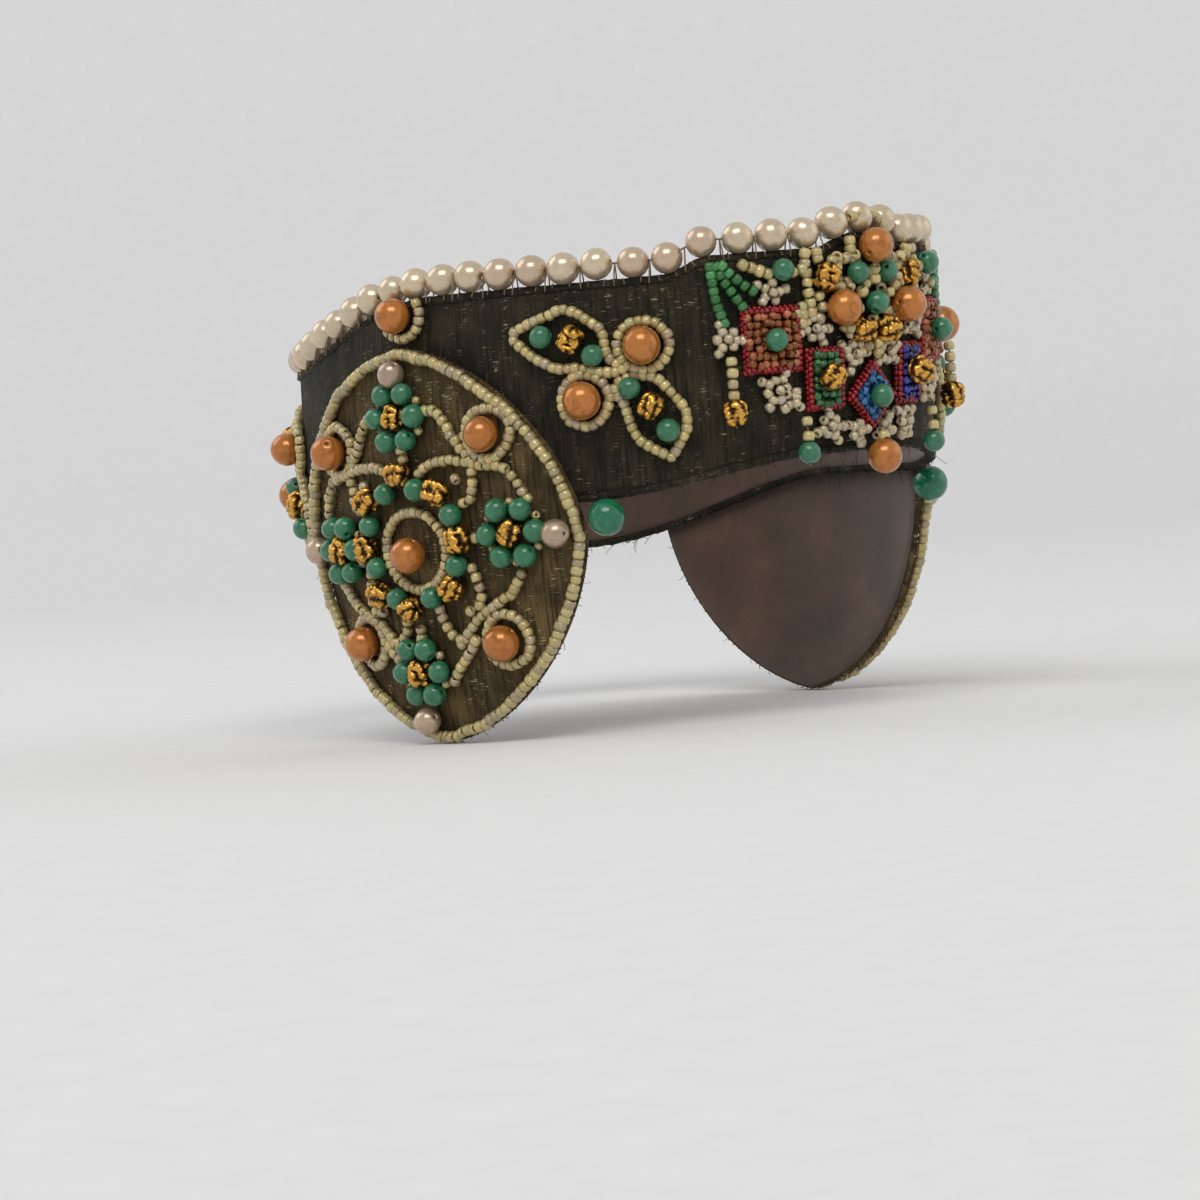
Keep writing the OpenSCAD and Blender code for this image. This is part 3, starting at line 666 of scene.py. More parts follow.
def nugget_blanks(label, d, length):
    """Short folded tubes of gilt foil, pierced and crumpled, with how deep each point lies, for painted shade
    in the folds.
    """
    box = bpy.data.collections.new(label)
    around, rows, inner = 44, 22, 5
    for k in range(4):
        rng = random.Random(300 + k)
        lobes = rng.choice((4, 5, 5))
        turn = rng.uniform(0, 6)
        shift = Vector((5.1 * k, 2.2, 0.4))
        points, depth = [], []
        for i in range(around):
            a = 2 * math.pi * i / around
            for j in range(rows + inner):
                if j < rows:
                    t = j / (rows - 1) * 2 - 1
                    girth = (1 - abs(t) ** 3.2) ** 0.45 if abs(t) < 1 else 0.0
                    star = abs(math.cos(lobes * 0.5 * (a + turn + 0.5 * t))) ** 0.55
                    belt = abs(math.cos(math.pi * 1.5 * t)) ** 0.5
                    p = Vector((math.cos(a), math.sin(a), t * 1.2))
                    fold = abs(noise.noise(p * 1.9 + shift)) * 2.1
                    reach = min(1.0, 0.2 + 0.42 * star + 0.2 * belt + 0.36 * fold)
                    r = d / 2 * (0.2 + 0.86 * girth * reach)
                    z = length / 2 * t * (0.82 + 0.18 * star)
                    depth.append(max(0.0, 1 - reach) * 1.7)
                else:
                    t = 1 - 2 * (j - rows + 1) / (inner + 1)
                    r = d / 2 * 0.13
                    z = length / 2 * t * 0.8
                    depth.append(1.0)
                points.append(Vector((r * math.cos(a), r * math.sin(a), z)))
        faces = grid_faces(around, rows + inner, wrap_rows=True, wrap_cols=True)
        keep_blank(box, new_piece(f"{label}_{k}", points, faces, None, depth=depth))
    return box


def stitch_blanks(label, d, reach, rise, lean):
    """Short thread loops that lie over an edge."""
    box = bpy.data.collections.new(label)
    for k in range(3):
        slant = lean * (0.5, 0.8, 1.1)[k]
        path = []
        for i in range(7):
            a = math.pi * i / 6
            path.append(Vector((rise * math.sin(a), reach * math.cos(a), slant * reach * math.cos(a))))
        keep_blank(box, tubes(f"{label}_{k}", [path], d / 2, None, sides=5))
    return box


# ---------------------------------------------------------------- strings of beads
class Stock:
    """The bead blanks and finishes in use, made once and put away at the end."""
    boxes = {}
    finishes = {}
    trees = {}


def grow(name, points, edges, outs, sizes, alongs, tree, inputs):
    """Runs the tree on a mesh of lines or points and keeps the result as a plain mesh."""
    mesh = bpy.data.meshes.new(name)
    mesh.from_pydata([tuple(p) for p in points], edges, [])
    sets = [("out", "FLOAT_VECTOR", "vector", [c for o in outs for c in o]),
            ("size", "FLOAT", "value", sizes)]
    if alongs:
        sets.append(("along", "FLOAT_VECTOR", "vector", [c for a in alongs for c in a]))
    for label, kind, field, values in sets:
        mesh.attributes.new(label, kind, "POINT").data.foreach_set(field, values)
    piece = bpy.data.objects.new(name, mesh)
    bpy.context.scene.collection.objects.link(piece)
    work = piece.modifiers.new("beads", "NODES")
    work.node_group = tree.tree
    for label, value in inputs.items():
        work[tree.names[label]] = value
    graph = bpy.context.evaluated_depsgraph_get()
    grown = piece.evaluated_get(graph)
    result = bpy.data.meshes.new_from_object(grown, preserve_all_data_layers=True, depsgraph=graph)
    piece.modifiers.remove(work)
    piece.data = result
    if not result.polygons:
        raise RuntimeError(f"{name} came out empty")
    result.name = name
    result.shade_smooth()
    return piece


def bead_inputs(blanks, finish, pitch=1.0, tilt=0.14, spin=math.pi, wander=0.12, uneven=0.05, seed=1):
    return {"Pitch": pitch * MM, "Tilt": tilt, "Spin": spin, "Wander": wander * MM, "Uneven": uneven,
            "Seed": seed, "Beads": Stock.boxes[blanks], "Finish": Stock.finishes[finish]}


def strung(name, lines, blanks, finish, pitch, size=1.0, **more):
    """Beads strung on lines. A line is (points, outs, closed)."""
    points, edges, outs = [], [], []
    for line, out, closed in lines:
        first = len(points)
        points += line
        outs += out
        edges += [(first + i, first + i + 1) for i in range(len(line) - 1)]
        if closed:
            edges.append((first + len(line) - 1, first))
    inputs = bead_inputs(blanks, finish, pitch, **more)
    return grow(name, points, edges, outs, [size] * len(points), None, Stock.trees["strung"], inputs)


def stitched(name, spots, blanks, finish, **more):
    """Beads sewn on one by one. A spot is (point, along, out, size)."""
    points, alongs, outs, sizes = zip(*spots)
    inputs = bead_inputs(blanks, finish, **more)
    return grow(name, points, [], outs, sizes, alongs, Stock.trees["stitched"], inputs)


def cloth_line(places, lift, closed=False, side=1, sway=0.25):
    """A line of thread that lies on the cloth through places (s, z), a lift above it."""
    line = smooth_line(places, closed=closed)
    points, outs = [], []
    for s, z in line:
        wob = Vector((s * 0.13, z * 0.13, 4.0))
        s2 = s + sway * noise.noise(wob)
        z2 = z + sway * noise.noise(wob + Vector((0, 0, 9)))
        points.append(surf(side * s2, z2, lift))
        outs.append(normal(side * s2, z2))
    return points, outs, closed


def cloth_spot(s, z, lift, degrees=0.0, size=1.0):
    return surf(s, z, lift), on_cloth_dir(s, z, degrees), normal(s, z), size


def ring_places(s, z, ra, rb=None, count=24, start=0.0, end=360.0):
    rb = rb or ra
    places = []
    for i in range(count):
        a = math.radians(start + (end - start) * i / (count if end - start >= 360 else count - 1))
        places.append((s - ra * math.cos(a), z + rb * math.sin(a)))
    return places


# ---------------------------------------------------------------- sizes and colours
def size_property(label, text, value, low, high):
    return FloatProperty(name=label, description=text, default=value, min=low, max=high, subtype="DISTANCE",
                         unit="LENGTH")


def colour_property(label, text, value):
    return FloatVectorProperty(name=label, description=text, default=value, min=0, max=1, size=3,
                               subtype="COLOR")


class HeadbandSizes(PropertyGroup):
    pearl: size_property("Edging pearl", "Diameter of a pearl on the top edge", 0.0087, 0.006, 0.009)
    small_pearl: size_property("Medallion pearl", "Diameter of a pearl on a medallion", 0.0076, 0.005, 0.008)
    coral: size_property("Coral pearl", "Diameter of a coral-coloured pearl", 0.0098, 0.007, 0.011)
    turquoise: size_property("Turquoise bead", "Diameter of a turquoise bead", 0.0063, 0.004, 0.007)
    nugget: size_property("Gilt nugget", "Diameter of a folded gilt bead", 0.0068, 0.004, 0.008)
    nugget_length: size_property("Nugget length", "Length of a folded gilt bead", 0.0076, 0.005, 0.009)
    jade: size_property("Jade drop", "Diameter of the drop beside a medallion", 0.0096, 0.007, 0.0105)
    seed: size_property("Seed bead", "Diameter of a seed bead", 0.0031, 0.002, 0.0035)
    seed_width: size_property("Seed width", "Width of a seed bead along its thread", 0.0024, 0.0015, 0.003)
    thread: size_property("Thread", "Diameter of the waxed sewing thread", 0.0005, 0.0003, 0.0008)
    fray: IntProperty(name="Loose threads", description="How many thread ends stand out of the edges",
                      default=260, min=0, max=600)


class HeadbandColours(PropertyGroup):
    cloth: colour_property("Metal cloth", "The dark, worn metal cloth of the band", (0.023, 0.019, 0.009))
    gold_cloth: colour_property("Medallion cloth", "The warmer cloth of the medallions", (0.090, 0.062, 0.024))
    glint: colour_property("Metal thread", "The bright threads woven into the cloth", (0.72, 0.60, 0.36))
    silk: colour_property("Lining silk", "The rust-brown silk inside", (0.085, 0.045, 0.024))
    pearl: colour_property("Pearl", "Cream pearls", (0.70, 0.58, 0.40))
    blush: colour_property("Blush pearl", "The pinker pearls among them", (0.62, 0.46, 0.32))
    seed: colour_property("Cream seed", "Lustrous cream seed beads", (0.57, 0.45, 0.19))
    coral: colour_property("Coral", "Coral-coloured pearls", (0.54, 0.185, 0.030))
    turquoise: colour_property("Turquoise", "Turquoise glass beads", (0.026, 0.175, 0.080))
    jade: colour_property("Jade", "The green drops", (0.008, 0.17, 0.075))
    gilt: colour_property("Gilt", "Folded gilt beads", (0.78, 0.42, 0.085))
    white: colour_property("White seed", "Seed beads of the blossoms", (0.55, 0.46, 0.29))
    red: colour_property("Dark red seed", "Seed beads that edge the panels", (0.26, 0.002, 0.004))
    orange: colour_property("Orange seed", "Seed beads of the red panels", (0.27, 0.075, 0.009))
    green: colour_property("Green seed", "Seed beads of the green panel", (0.028, 0.13, 0.034))
    blue: colour_property("Blue seed", "Seed beads of the diamond", (0.012, 0.085, 0.26))
    violet: colour_property("Violet seed", "Seed beads of the violet panel", (0.020, 0.010, 0.14))
    frond: colour_property("Frond seed", "Seed beads of the fronds", (0.035, 0.17, 0.040))
    thread: colour_property("Thread", "Waxed sewing thread", (0.30, 0.22, 0.13))
    fray: colour_property("Fray", "Dark loose threads", (0.022, 0.018, 0.013))
    rust: colour_property("Rust thread", "The thread round the medallions", (0.18, 0.06, 0.02))


# ---------------------------------------------------------------- finishes
def cloth_finish(name, base, glint, shine):
    """Worn metal cloth: dark upright streaks, a fine weave, short bright weft threads and patchy tone, partly a
    painted sheen.
    """
    f = Finish(name)
    uv = f.flat()
    tone_and_sheen = f.noise(uv, 55.0, 4.0, 0.6)
    worn = f.noise(f.stretch(uv, (1, 0.6, 1)), 170.0, 3.0, 0.6)
    streak = f.noise(f.stretch(uv, (950, 55, 1)), 1.0, 5.0, 0.7)
    slub = f.noise(f.stretch(uv, (360, 26, 1)), 1.0, 4.0, 0.65)
    # Lighter and darker patches: partly the worn cloth's uneven tone, partly a painted sheen.
    colour = f.ramp(tone_and_sheen, (0.34, tint(base, 0.5)), (0.5, tint(base, 1.05)), (0.66, tint(base, 2.0)))
    colour = f.mix(streak.fade(0.45, 0.62) * 0.85, colour, tint(base, 0.2))
    colour = f.mix(slub.fade(0.54, 0.7) * 0.45, colour, tint(base, 2.3))
    weft = f.noise(f.stretch(uv, (330, 2500, 1)), 1.0, 2.0, 0.6)
    broken = f.noise(uv, 420.0, 2.0, 0.6)
    gold = weft.fade(0.56, 0.64) * broken.fade(0.46, 0.60) * worn.fade(0.44, 0.66) * shine
    warp_metal = f.noise(f.stretch(uv, (2300, 240, 1)), 1.0, 2.0, 0.6).fade(0.62, 0.72) * worn.fade(0.5, 0.75)
    colour = f.mix(warp_metal * 0.35, colour, tint(glint, 0.6))
    colour = f.mix(gold, colour, glint)
    wave_u = (f.split(uv, 0) * 9500.0).sine()
    wave_v = (f.split(uv, 1) * 11500.0).sine()
    height = wave_u * 0.2 + wave_v * 0.2 + streak * 0.9 + gold * 0.8 + slub * 0.6
    normal_out = f.bump(height, 0.55, 0.00035)
    return f.done(colour, 0.72 - gold * 0.38, 0.3 + gold * 0.6, normal_out, specular=0.3)


def silk_finish(name, base):
    f = Finish(name)
    uv = f.flat()
    weave = f.noise(f.stretch(uv, (900, 2600, 1)), 1.0, 3.0, 0.6)
    stain = f.noise(uv, 45.0, 4.0, 0.6)
    colour = f.ramp(stain, (0.3, tint(base, 0.55)), (0.55, base), (0.75, tint(base, 1.7)))
    colour = f.mix(weave.fade(0.45, 0.75) * 0.5, colour, tint(base, 0.4))
    return f.done(colour, 0.5 + weave * 0.25, 0.0, f.bump(weave, 0.4, 0.0003), sheen=0.4)


def pearl_finish(name, cream, blush, deep):
    f = Finish(name)
    where = f.place()
    tone = f.attribute("tone")
    swirl = f.noise(where, 210.0, 3.0, 0.5, 1.2)
    fleck = f.noise(where, 1500.0, 2.0, 0.6)
    body = f.ramp(tone, (0.0, cream), (0.45, blend_colours(cream, blush, 0.35)), (0.75, tint(cream, 0.93)),
                  (0.95, blush))
    colour = f.mix(swirl.fade(0.4, 0.75) * 0.55, body, deep)
    colour = f.mix(fleck.fade(0.7, 0.8) * 0.12, colour, tint(deep, 0.55))
    height = swirl * 0.9 + fleck * 0.1
    return f.done(colour, 0.22 + fleck * 0.08, 0.5 + swirl * 0.12, f.bump(height, 0.12, 0.0004), coat=0.6)


def seed_finish(name, stops, lustre=1.0):
    """Glass seeds: each has its own tone, with a worn, silvery bloom."""
    f = Finish(name)
    where = f.place()
    body = f.ramp(f.attribute("tone"), *stops)
    bloom = f.noise(where, 700.0, 3.0, 0.6)
    dirt = f.noise(where, 2200.0, 2.0, 0.6)
    colour = f.mix(bloom.fade(0.55, 0.8) * 0.4 * lustre, body, tint(stops[0][1], 1.35))
    colour = f.mix(dirt.fade(0.58, 0.75) * 0.45, colour, tint(stops[-1][1], 0.4))
    relief = f.bump(bloom + dirt * 0.5, 0.14, 0.0003)
    return f.done(colour, 0.16 + dirt * 0.2, 0.25 * lustre, relief, coat=0.2 + 0.4 * lustre)


def coloured_seed(name, colour, darker, pale):
    """Seeds of one plain colour, some darker and some paler."""
    return seed_finish(name, ((0.0, colour), (0.5, tint(colour, darker)), (1.0, pale)), lustre=0.3)


def stone_finish(name, base, pale, deep, streak, rough, lustre=0.0):
    """Glossy glass or coral with paler streaks and darker pits."""
    f = Finish(name)
    where = f.place()
    cloud = f.noise(where, 260.0, 4.0, 0.6, 1.6)
    vein = f.noise(f.stretch(where, (1, 1, 2.6)), 420.0, 3.0, 0.6, 2.2)
    pit = f.noise(where, 1900.0, 2.0, 0.6)
    colour = f.ramp(cloud, (0.3, deep), (0.5, base), (0.72, blend_colours(base, pale, 0.4)))
    colour = f.mix(f.attribute("tone") * 0.35, colour, tint(base, 0.72))
    colour = f.mix(vein.fade(0.56, 0.70) * streak, colour, pale)
    colour = f.mix(pit.fade(0.66, 0.74) * 0.6, colour, tint(deep, 0.35))
    return f.done(colour, rough + pit * 0.12, lustre, f.bump(cloud + pit * 0.3, 0.08, 0.0004), coat=0.35)


def gilt_finish(name, gold):
    f = Finish(name)
    where = f.place()
    deep = f.attribute("depth")
    rub = f.noise(where, 900.0, 3.0, 0.6)
    colour = f.mix(rub.fade(0.4, 0.7) * 0.4, gold, tint(gold, 0.62))
    # Painted shade: the deeper a fold or the thread hole lies, the darker and less metallic it is painted.
    colour = f.mix(deep.fade(0.16, 0.62), colour, (0.035, 0.011, 0.003))
    rough = 0.16 + rub * 0.14 + deep * 0.25
    return f.done(colour, rough, 1 - deep.fade(0.45, 0.9) * 0.7, f.bump(rub, 0.25, 0.0004))


def thread_finish(name, base):
    """Twisted thread, with its ply along the map."""
    f = Finish(name)
    uv = f.flat()
    ply = (f.split(uv, 0) * 7000.0 + f.split(uv, 1) * 12.566).sine()
    fluff = f.noise(f.place(), 2600.0, 3.0, 0.6)
    colour = f.mix(ply.fade(-0.6, 0.6), tint(base, 0.5), base)
    colour = f.mix(fluff.fade(0.45, 0.7) * 0.5, colour, tint(base, 1.5))
    return f.done(colour, 0.62 + fluff * 0.2, 0.0, f.bump(ply + fluff, 0.5, 0.0002))


def steel_finish(name):
    f = Finish(name)
    where = f.place()
    brush = f.noise(f.stretch(where, (1, 1, 14)), 700.0, 3.0, 0.6)
    tarnish = f.noise(where, 320.0, 3.0, 0.6)
    colour = f.ramp(brush, (0.3, (0.32, 0.31, 0.29)), (0.7, (0.58, 0.57, 0.54)))
    colour = f.mix(tarnish.fade(0.5, 0.75) * 0.6, colour, (0.12, 0.095, 0.07))
    return f.done(colour, 0.28 + tarnish * 0.3, 1.0, f.bump(brush, 0.2, 0.0003))


def buckram_finish(name):
    f = Finish(name)
    where = f.place()
    mesh_up = (f.split(where, 2) * 5200.0).sine()
    fibre = f.noise(where, 1300.0, 3.0, 0.6)
    colour = f.mix(fibre.fade(0.35, 0.7), (0.10, 0.082, 0.055), (0.21, 0.175, 0.12))
    return f.done(colour, 0.85, 0.0, f.bump(mesh_up * 0.4 + fibre, 0.5, 0.0003))


def paper_finish(name, base):
    f = Finish(name)
    grain = f.noise(f.place(), 90.0, 4.0, 0.6)
    colour = f.mix(grain.fade(0.3, 0.7), tint(base, 0.985), tint(base, 1.01))
    return f.done(colour, 0.85 + grain * 0.1, specular=0.15)


def make_finishes(c):
    cream = tuple(c.seed)
    Stock.finishes = {
        "band_cloth": cloth_finish("worn_metal_cloth", c.cloth, tint(c.glint, 0.7), 0.7),
        "gold_cloth": cloth_finish("golden_metal_cloth", c.gold_cloth, tint(c.glint, 1.05), 1.0),
        "silk": silk_finish("lining_silk", c.silk),
        "pearl": pearl_finish("cream_pearl", c.pearl, c.blush, (0.52, 0.44, 0.34)),
        "small_pearl": pearl_finish("blush_pearl", c.blush, tint(c.blush, 0.7), (0.30, 0.22, 0.19)),
        "seed": seed_finish("cream_seed", (
            (0.0, cream), (0.25, tint(cream, 0.74)), (0.42, (0.50, 0.45, 0.21)), (0.6, tint(cream, 1.15)),
            (0.8, (0.44, 0.34, 0.19)), (0.9, (0.52, 0.42, 0.27)), (1.0, (0.30, 0.22, 0.12)))),
        "border_seed": seed_finish("border_seed", (
            (0.0, tint(cream, 1.05)), (0.3, (0.50, 0.42, 0.19)), (0.6, tint(cream, 0.86)),
            (0.85, (0.36, 0.31, 0.17)), (1.0, (0.40, 0.32, 0.19)))),
        "white_seed": seed_finish("white_seed", (
            (0.0, c.white), (0.35, tint(c.white, 0.84)), (0.7, tint(c.white, 1.12)),
            (1.0, (0.50, 0.44, 0.33)))),
        "red_seed": coloured_seed("dark_red_seed", c.red, 0.6, tint(c.red, 1.5)),
        "orange_seed": coloured_seed("orange_seed", c.orange, 0.7, (0.5, 0.16, 0.07)),
        "green_seed": coloured_seed("green_seed", c.green, 0.65, (0.06, 0.24, 0.09)),
        "blue_seed": coloured_seed("blue_seed", c.blue, 0.6, (0.035, 0.2, 0.44)),
        "violet_seed": coloured_seed("violet_seed", c.violet, 0.5, (0.03, 0.05, 0.34)),
        "frond_seed": coloured_seed("frond_seed", c.frond, 0.75, (0.07, 0.30, 0.09)),
        "coral": stone_finish("coral_pearl", c.coral, (0.62, 0.28, 0.085), tint(c.coral, 0.6),
                              streak=0.35, rough=0.16, lustre=0.4),
        "turquoise": stone_finish("turquoise_glass", c.turquoise, (0.10, 0.36, 0.23), tint(c.turquoise, 0.7),
                                  streak=0.25, rough=0.12),
        "jade": stone_finish("jade_glass", c.jade, (0.06, 0.42, 0.22), tint(c.jade, 0.7),
                             streak=0.15, rough=0.06),
        "gilt": gilt_finish("folded_gilt", c.gilt),
        "thread": thread_finish("waxed_thread", c.thread),
        "fray": thread_finish("dark_thread", c.fray),
        "rust": thread_finish("rust_thread", c.rust),
        "steel": steel_finish("press_stud_steel"),
        "buckram": buckram_finish("buckram"),
    }


# ---------------------------------------------------------------- operators
class HEADBAND_OT_stage(Operator):
    """Makes the floor, the lights and the camera"""
    bl_idname = "headband.stage"
    bl_label = "Stage"

    # The camera looks from the wearer's right front, a little above the band.
    azimuth = math.radians(-44.67)
    elevation = math.radians(2.34)
    roll = math.radians(-4.66)
    distance = 1.3266
    focal_px = 4711.15
    frame_px = 1200.0
    aim_px = (10.46, 235.11)
    sensor = 36.0
    # The floor's section: (distance from the middle, height), in metres.
    cove = ((0.9, 0.0), (1.4, 0.0), (1.75, 0.05), (2.0, 0.22), (2.15, 0.55), (2.2, 1.0), (2.2, 1.7))
    cove_sides = 96
    floor_colour = (0.80, 0.80, 0.805)
    sky_colour = (0.90, 0.90, 0.90)
    sky_strength = 0.62
    # Each light: name, place in metres, width, power in watts and colour.
    lights = (("window", (-1.8, -1.7, 2.2), 2.3, 64.0, (1.0, 0.985, 0.96)),
              ("fill", (1.3, -1.1, 0.55), 1.4, 2.5, (0.97, 0.98, 1.0)),
              ("back", (-0.5, 1.3, 1.1), 1.1, 5.0, (1.0, 1.0, 1.0)))

    def execute(self, context):
        self.camera()
        self.floor()
        for light in self.lights:
            self.light(*light)
        world = bpy.data.worlds.new("soft_room")
        world.use_nodes = True
        sky = world.node_tree.nodes["Background"]
        sky.inputs["Color"].default_value = rgba(self.sky_colour)
        sky.inputs["Strength"].default_value = self.sky_strength
        context.scene.world = world
        context.scene.view_settings.view_transform = "Standard"
        return {"FINISHED"}

    def camera(self):
        a, e, r = self.azimuth, self.elevation, self.roll
        back = Vector((math.sin(a) * math.cos(e), -math.cos(a) * math.cos(e), math.sin(e)))
        right = UP.cross(back).normalized()
        up = back.cross(right)
        right_tilted = right * math.cos(r) + up * math.sin(r)
        up_tilted = -right * math.sin(r) + up * math.cos(r)
        shift_x, shift_y = (t * self.distance / self.focal_px for t in self.aim_px)
        eye = bpy.data.objects.new("eye", bpy.data.cameras.new("eye"))
        eye.data.lens = self.focal_px / self.frame_px * self.sensor
        eye.data.sensor_width = self.sensor
        turn = Matrix((right_tilted, up_tilted, back)).transposed()
        eye.rotation_euler = turn.to_euler()
        eye.location = back * self.distance - right_tilted * shift_x - up_tilted * shift_y
        bpy.context.scene.collection.objects.link(eye)
        bpy.context.scene.camera = eye

    def floor(self):
        sides = self.cove_sides
        drop = CAD_BOX[0][2]
        points = [Vector((0, 0, drop))]
        for r, z in self.cove:
            for k in range(sides):
                a = 2 * math.pi * k / sides
                points.append(Vector((r * math.cos(a), r * math.sin(a), drop + z)))
        faces = [(0, 1 + k, 1 + (k + 1) % sides) for k in range(sides)]
        faces += [face[::-1] for face in grid_faces(len(self.cove), sides, 1, wrap_cols=True)]
        paper = paper_finish("pale_floor", self.floor_colour)
        ground = new_piece("floor", points, faces, paper, tidy=False)

    def light(self, name, place, width, power, colour):
        lamp = bpy.data.lights.new(name, "AREA")
        lamp.size = width
        lamp.energy = power
        lamp.color = colour
        stand = bpy.data.objects.new(name, lamp)
        stand.location = place
        stand.rotation_euler = (-Vector(place)).to_track_quat("-Z", "Y").to_euler()
        stand.visible_camera = False
        bpy.context.scene.collection.objects.link(stand)


class HEADBAND_OT_blanks(Operator):
    """Makes the finishes, the bead blanks and the trees that string them"""
    bl_idname = "headband.blanks"
    bl_label = "Beads and finishes"

    def execute(self, context):
        sizes = context.scene.headband_sizes
        make_finishes(context.scene.headband_colours)
        Stock.trees = {"strung": bead_tree("strung_beads", True),
                       "stitched": bead_tree("stitched_beads", False)}
        hole = 0.5 * MM
        Stock.boxes = {
            "seed": seed_blanks("seed_blank", sizes.seed, sizes.seed_width),
            "pearl": ball_blanks("pearl_blank", sizes.pearl, hole, 22, 13, 0.05, 4),
            "small_pearl": ball_blanks("small_pearl_blank", sizes.small_pearl, hole, 24, 14, 0.07),
            "coral": ball_blanks("coral_blank", sizes.coral, hole, 28, 16, 0.03),
            "turquoise": ball_blanks("turquoise_blank", sizes.turquoise, 0.55 * MM, 18, 10, 0.05, 4),
            "jade": ball_blanks("jade_blank", sizes.jade, hole, 30, 18, 0.02, 1),
            "nugget": nugget_blanks("nugget_blank", sizes.nugget, sizes.nugget_length),
            "stitch": stitch_blanks("stitch_blank", sizes.thread * 0.7, 1.5 * MM, 1.35 * MM, 0.3),
            "whip": stitch_blanks("whip_blank", sizes.thread * 0.6, 1.1 * MM, 0.35 * MM, 1.1),
        }
        return {"FINISHED"}


def wrinkle(s, z, depth):
    """Soft upright creases that never rise far above the cloth."""
    soft = noise.noise(Vector((s * 0.055, z * 0.018, 2.0)))
    fine = noise.noise(Vector((s * 0.22, z * 0.05, 7.0)))
    return depth * (0.6 * soft + 0.25 * fine - 0.45)


def band_sheet(name, h0, h1, finish, depth, step=1.5, s0=BAND_FROM, s1=BAND_TO, inset=0.0):
    """A closed sheet that follows the band, between two heights."""
    cols = round((s1 - s0) / step)
    rows = 36
    front, back, flat = [], [], []
    for i in range(cols + 1):
        s = s0 + (s1 - s0) * i / cols
        low = bottom_z(s) + inset + 0.3 * noise.noise(Vector((s * 0.4, 1, 0)))
        high = top_z(s) - inset
        lines = ([], [], [])
        for j in range(rows + 1):
            z = low + (high - low) * j / rows
            lift = wrinkle(s, z, depth)
            lines[0].append(surf(s, z, h1 + lift))
            lines[1].append(surf(s, z, h0 + lift * 0.5))
            lines[2].append((s * MM, z * MM))
        front.append(lines[0])
        back.append(lines[1])
        flat.append(lines[2])
    return closed_sheet(name, front, back, flat, finish)


def edge_path(top, step=1.5):
    """The middle of the rolled edge, as places (s, z)."""
    count = round((BAND_TO - BAND_FROM) / step)
    path = []
    for i in range(count + 1):
        s = BAND_FROM + (BAND_TO - BAND_FROM) * i / count
        path.append((s, top_z(s) + BINDING_R if top else bottom_z(s) - BINDING_R * 0.7))
    return path


def any_way(rng):
    return Vector([rng.uniform(-1, 1) for _ in range(3)])


def loose_ends(name, starts, colour, seed):
    """Thin thread ends that curl away from an edge. A start is (point, direction, length in mm)."""
    rng = random.Random(seed)
    paths = []
    for start, direction, length in starts:
        point = start.copy()
        heading = direction.normalized()
        curl = any_way(rng)
        path = [point.copy()]
        steps = max(4, round(length / 0.9))
        for _ in range(steps):
            curl = (curl + 0.6 * any_way(rng)).normalized()
            heading = (heading + 0.22 * curl).normalized()
            point = point + heading * length / steps * MM
            path.append(point.copy())
        paths.append(path)
    return tubes(name, paths, 0.075 * MM, Stock.finishes[colour], sides=4)


class HEADBAND_OT_band(Operator):
    """Makes the band's cloth, its lining, rolled edges, stitches and loose threads"""
    bl_idname = "headband.band"
    bl_label = "Band cloth"

    flat_size = (0.558, 0.055)
    # The longest loose threads: place along the lower edge and length, in millimetres.
    long_threads = ((4, 11), (9, 12), (1, 8), (64, 8), (88, 9), (93, 7))

    def execute(self, context):
        kit = Stock.finishes
        cover = settle(band_sheet("band_cloth", -COVER_T, 0.0, kit["band_cloth"], 0.9), "band", "metal_cloth",
                       "band_cover")
        lining = band_sheet("band_silk", BAND_BACK, -COVER_T - STIFFENER_T, kit["silk"], 0.0, 3.0)
        settle(lining, "band", "silk_lining", "band_lining")
        for top in (True, False):
            self.rolled_edge(top)
        self.fray(context.scene.headband_sizes.fray)
        return {"FINISHED"}

    def rolled_edge(self, top):
        word = "top" if top else "bottom"
        places = edge_path(top)
        line = [surf(s, z, BAND_BACK / 2) for s, z in places]
        rng = random.Random(11)
        wobble = [1.0 + rng.uniform(-0.1, 0.1) for _ in line]
        wide = 1.32 if top else 1.3
        roll = tubes(f"{word}_rolled_edge", [line], lambda i: BINDING_R * wobble[i] * MM * wide,
                     Stock.finishes["band_cloth"], sides=10)
        for uv in roll.data.uv_layers[0].data:
            uv.uv = (uv.uv[0], uv.uv[1] * 0.006)
        settle(roll, "band", "binding", f"{word}_binding")
        outs = [UP * (1 if top else -1)] * len(line)
        thread = "thread" if top else "fray"
        whip = strung(f"{word}_edge_stitches", [(line, outs, False)], "stitch", thread, 4.8,
                      spin=0.12, tilt=0.2, wander=0.2)
        settle(whip, "band", "waxed_thread")

    def fray(self, count):
        rng = random.Random(5)
        starts = []
        for _ in range(count):
            s = rng.uniform(BAND_FROM + 2, BAND_TO - 2)
            top = rng.random() < 0.3
            z = top_z(s) + BINDING_R if top else bottom_z(s) - BINDING_R * rng.uniform(0.2, 1.6)
            way = UP * (0.7 if top else -1) + normal(s, z) * rng.uniform(-0.2, 0.9)
            way += on_cloth_dir(s, z, 0) * rng.uniform(-1.6, 1.6)
            starts.append((surf(s, z, rng.uniform(BAND_BACK, 0)), way, rng.uniform(2.0, 6.5)))
        for s, length in self.long_threads:
            starts.append((surf(s, bottom_z(s) - 1, 0), -UP + 0.3 * normal(s, 0), length))
        settle(loose_ends("band_loose_threads", starts, "fray", 8), "band", "metal_cloth")


EDGING_PEARL_R = 4.15


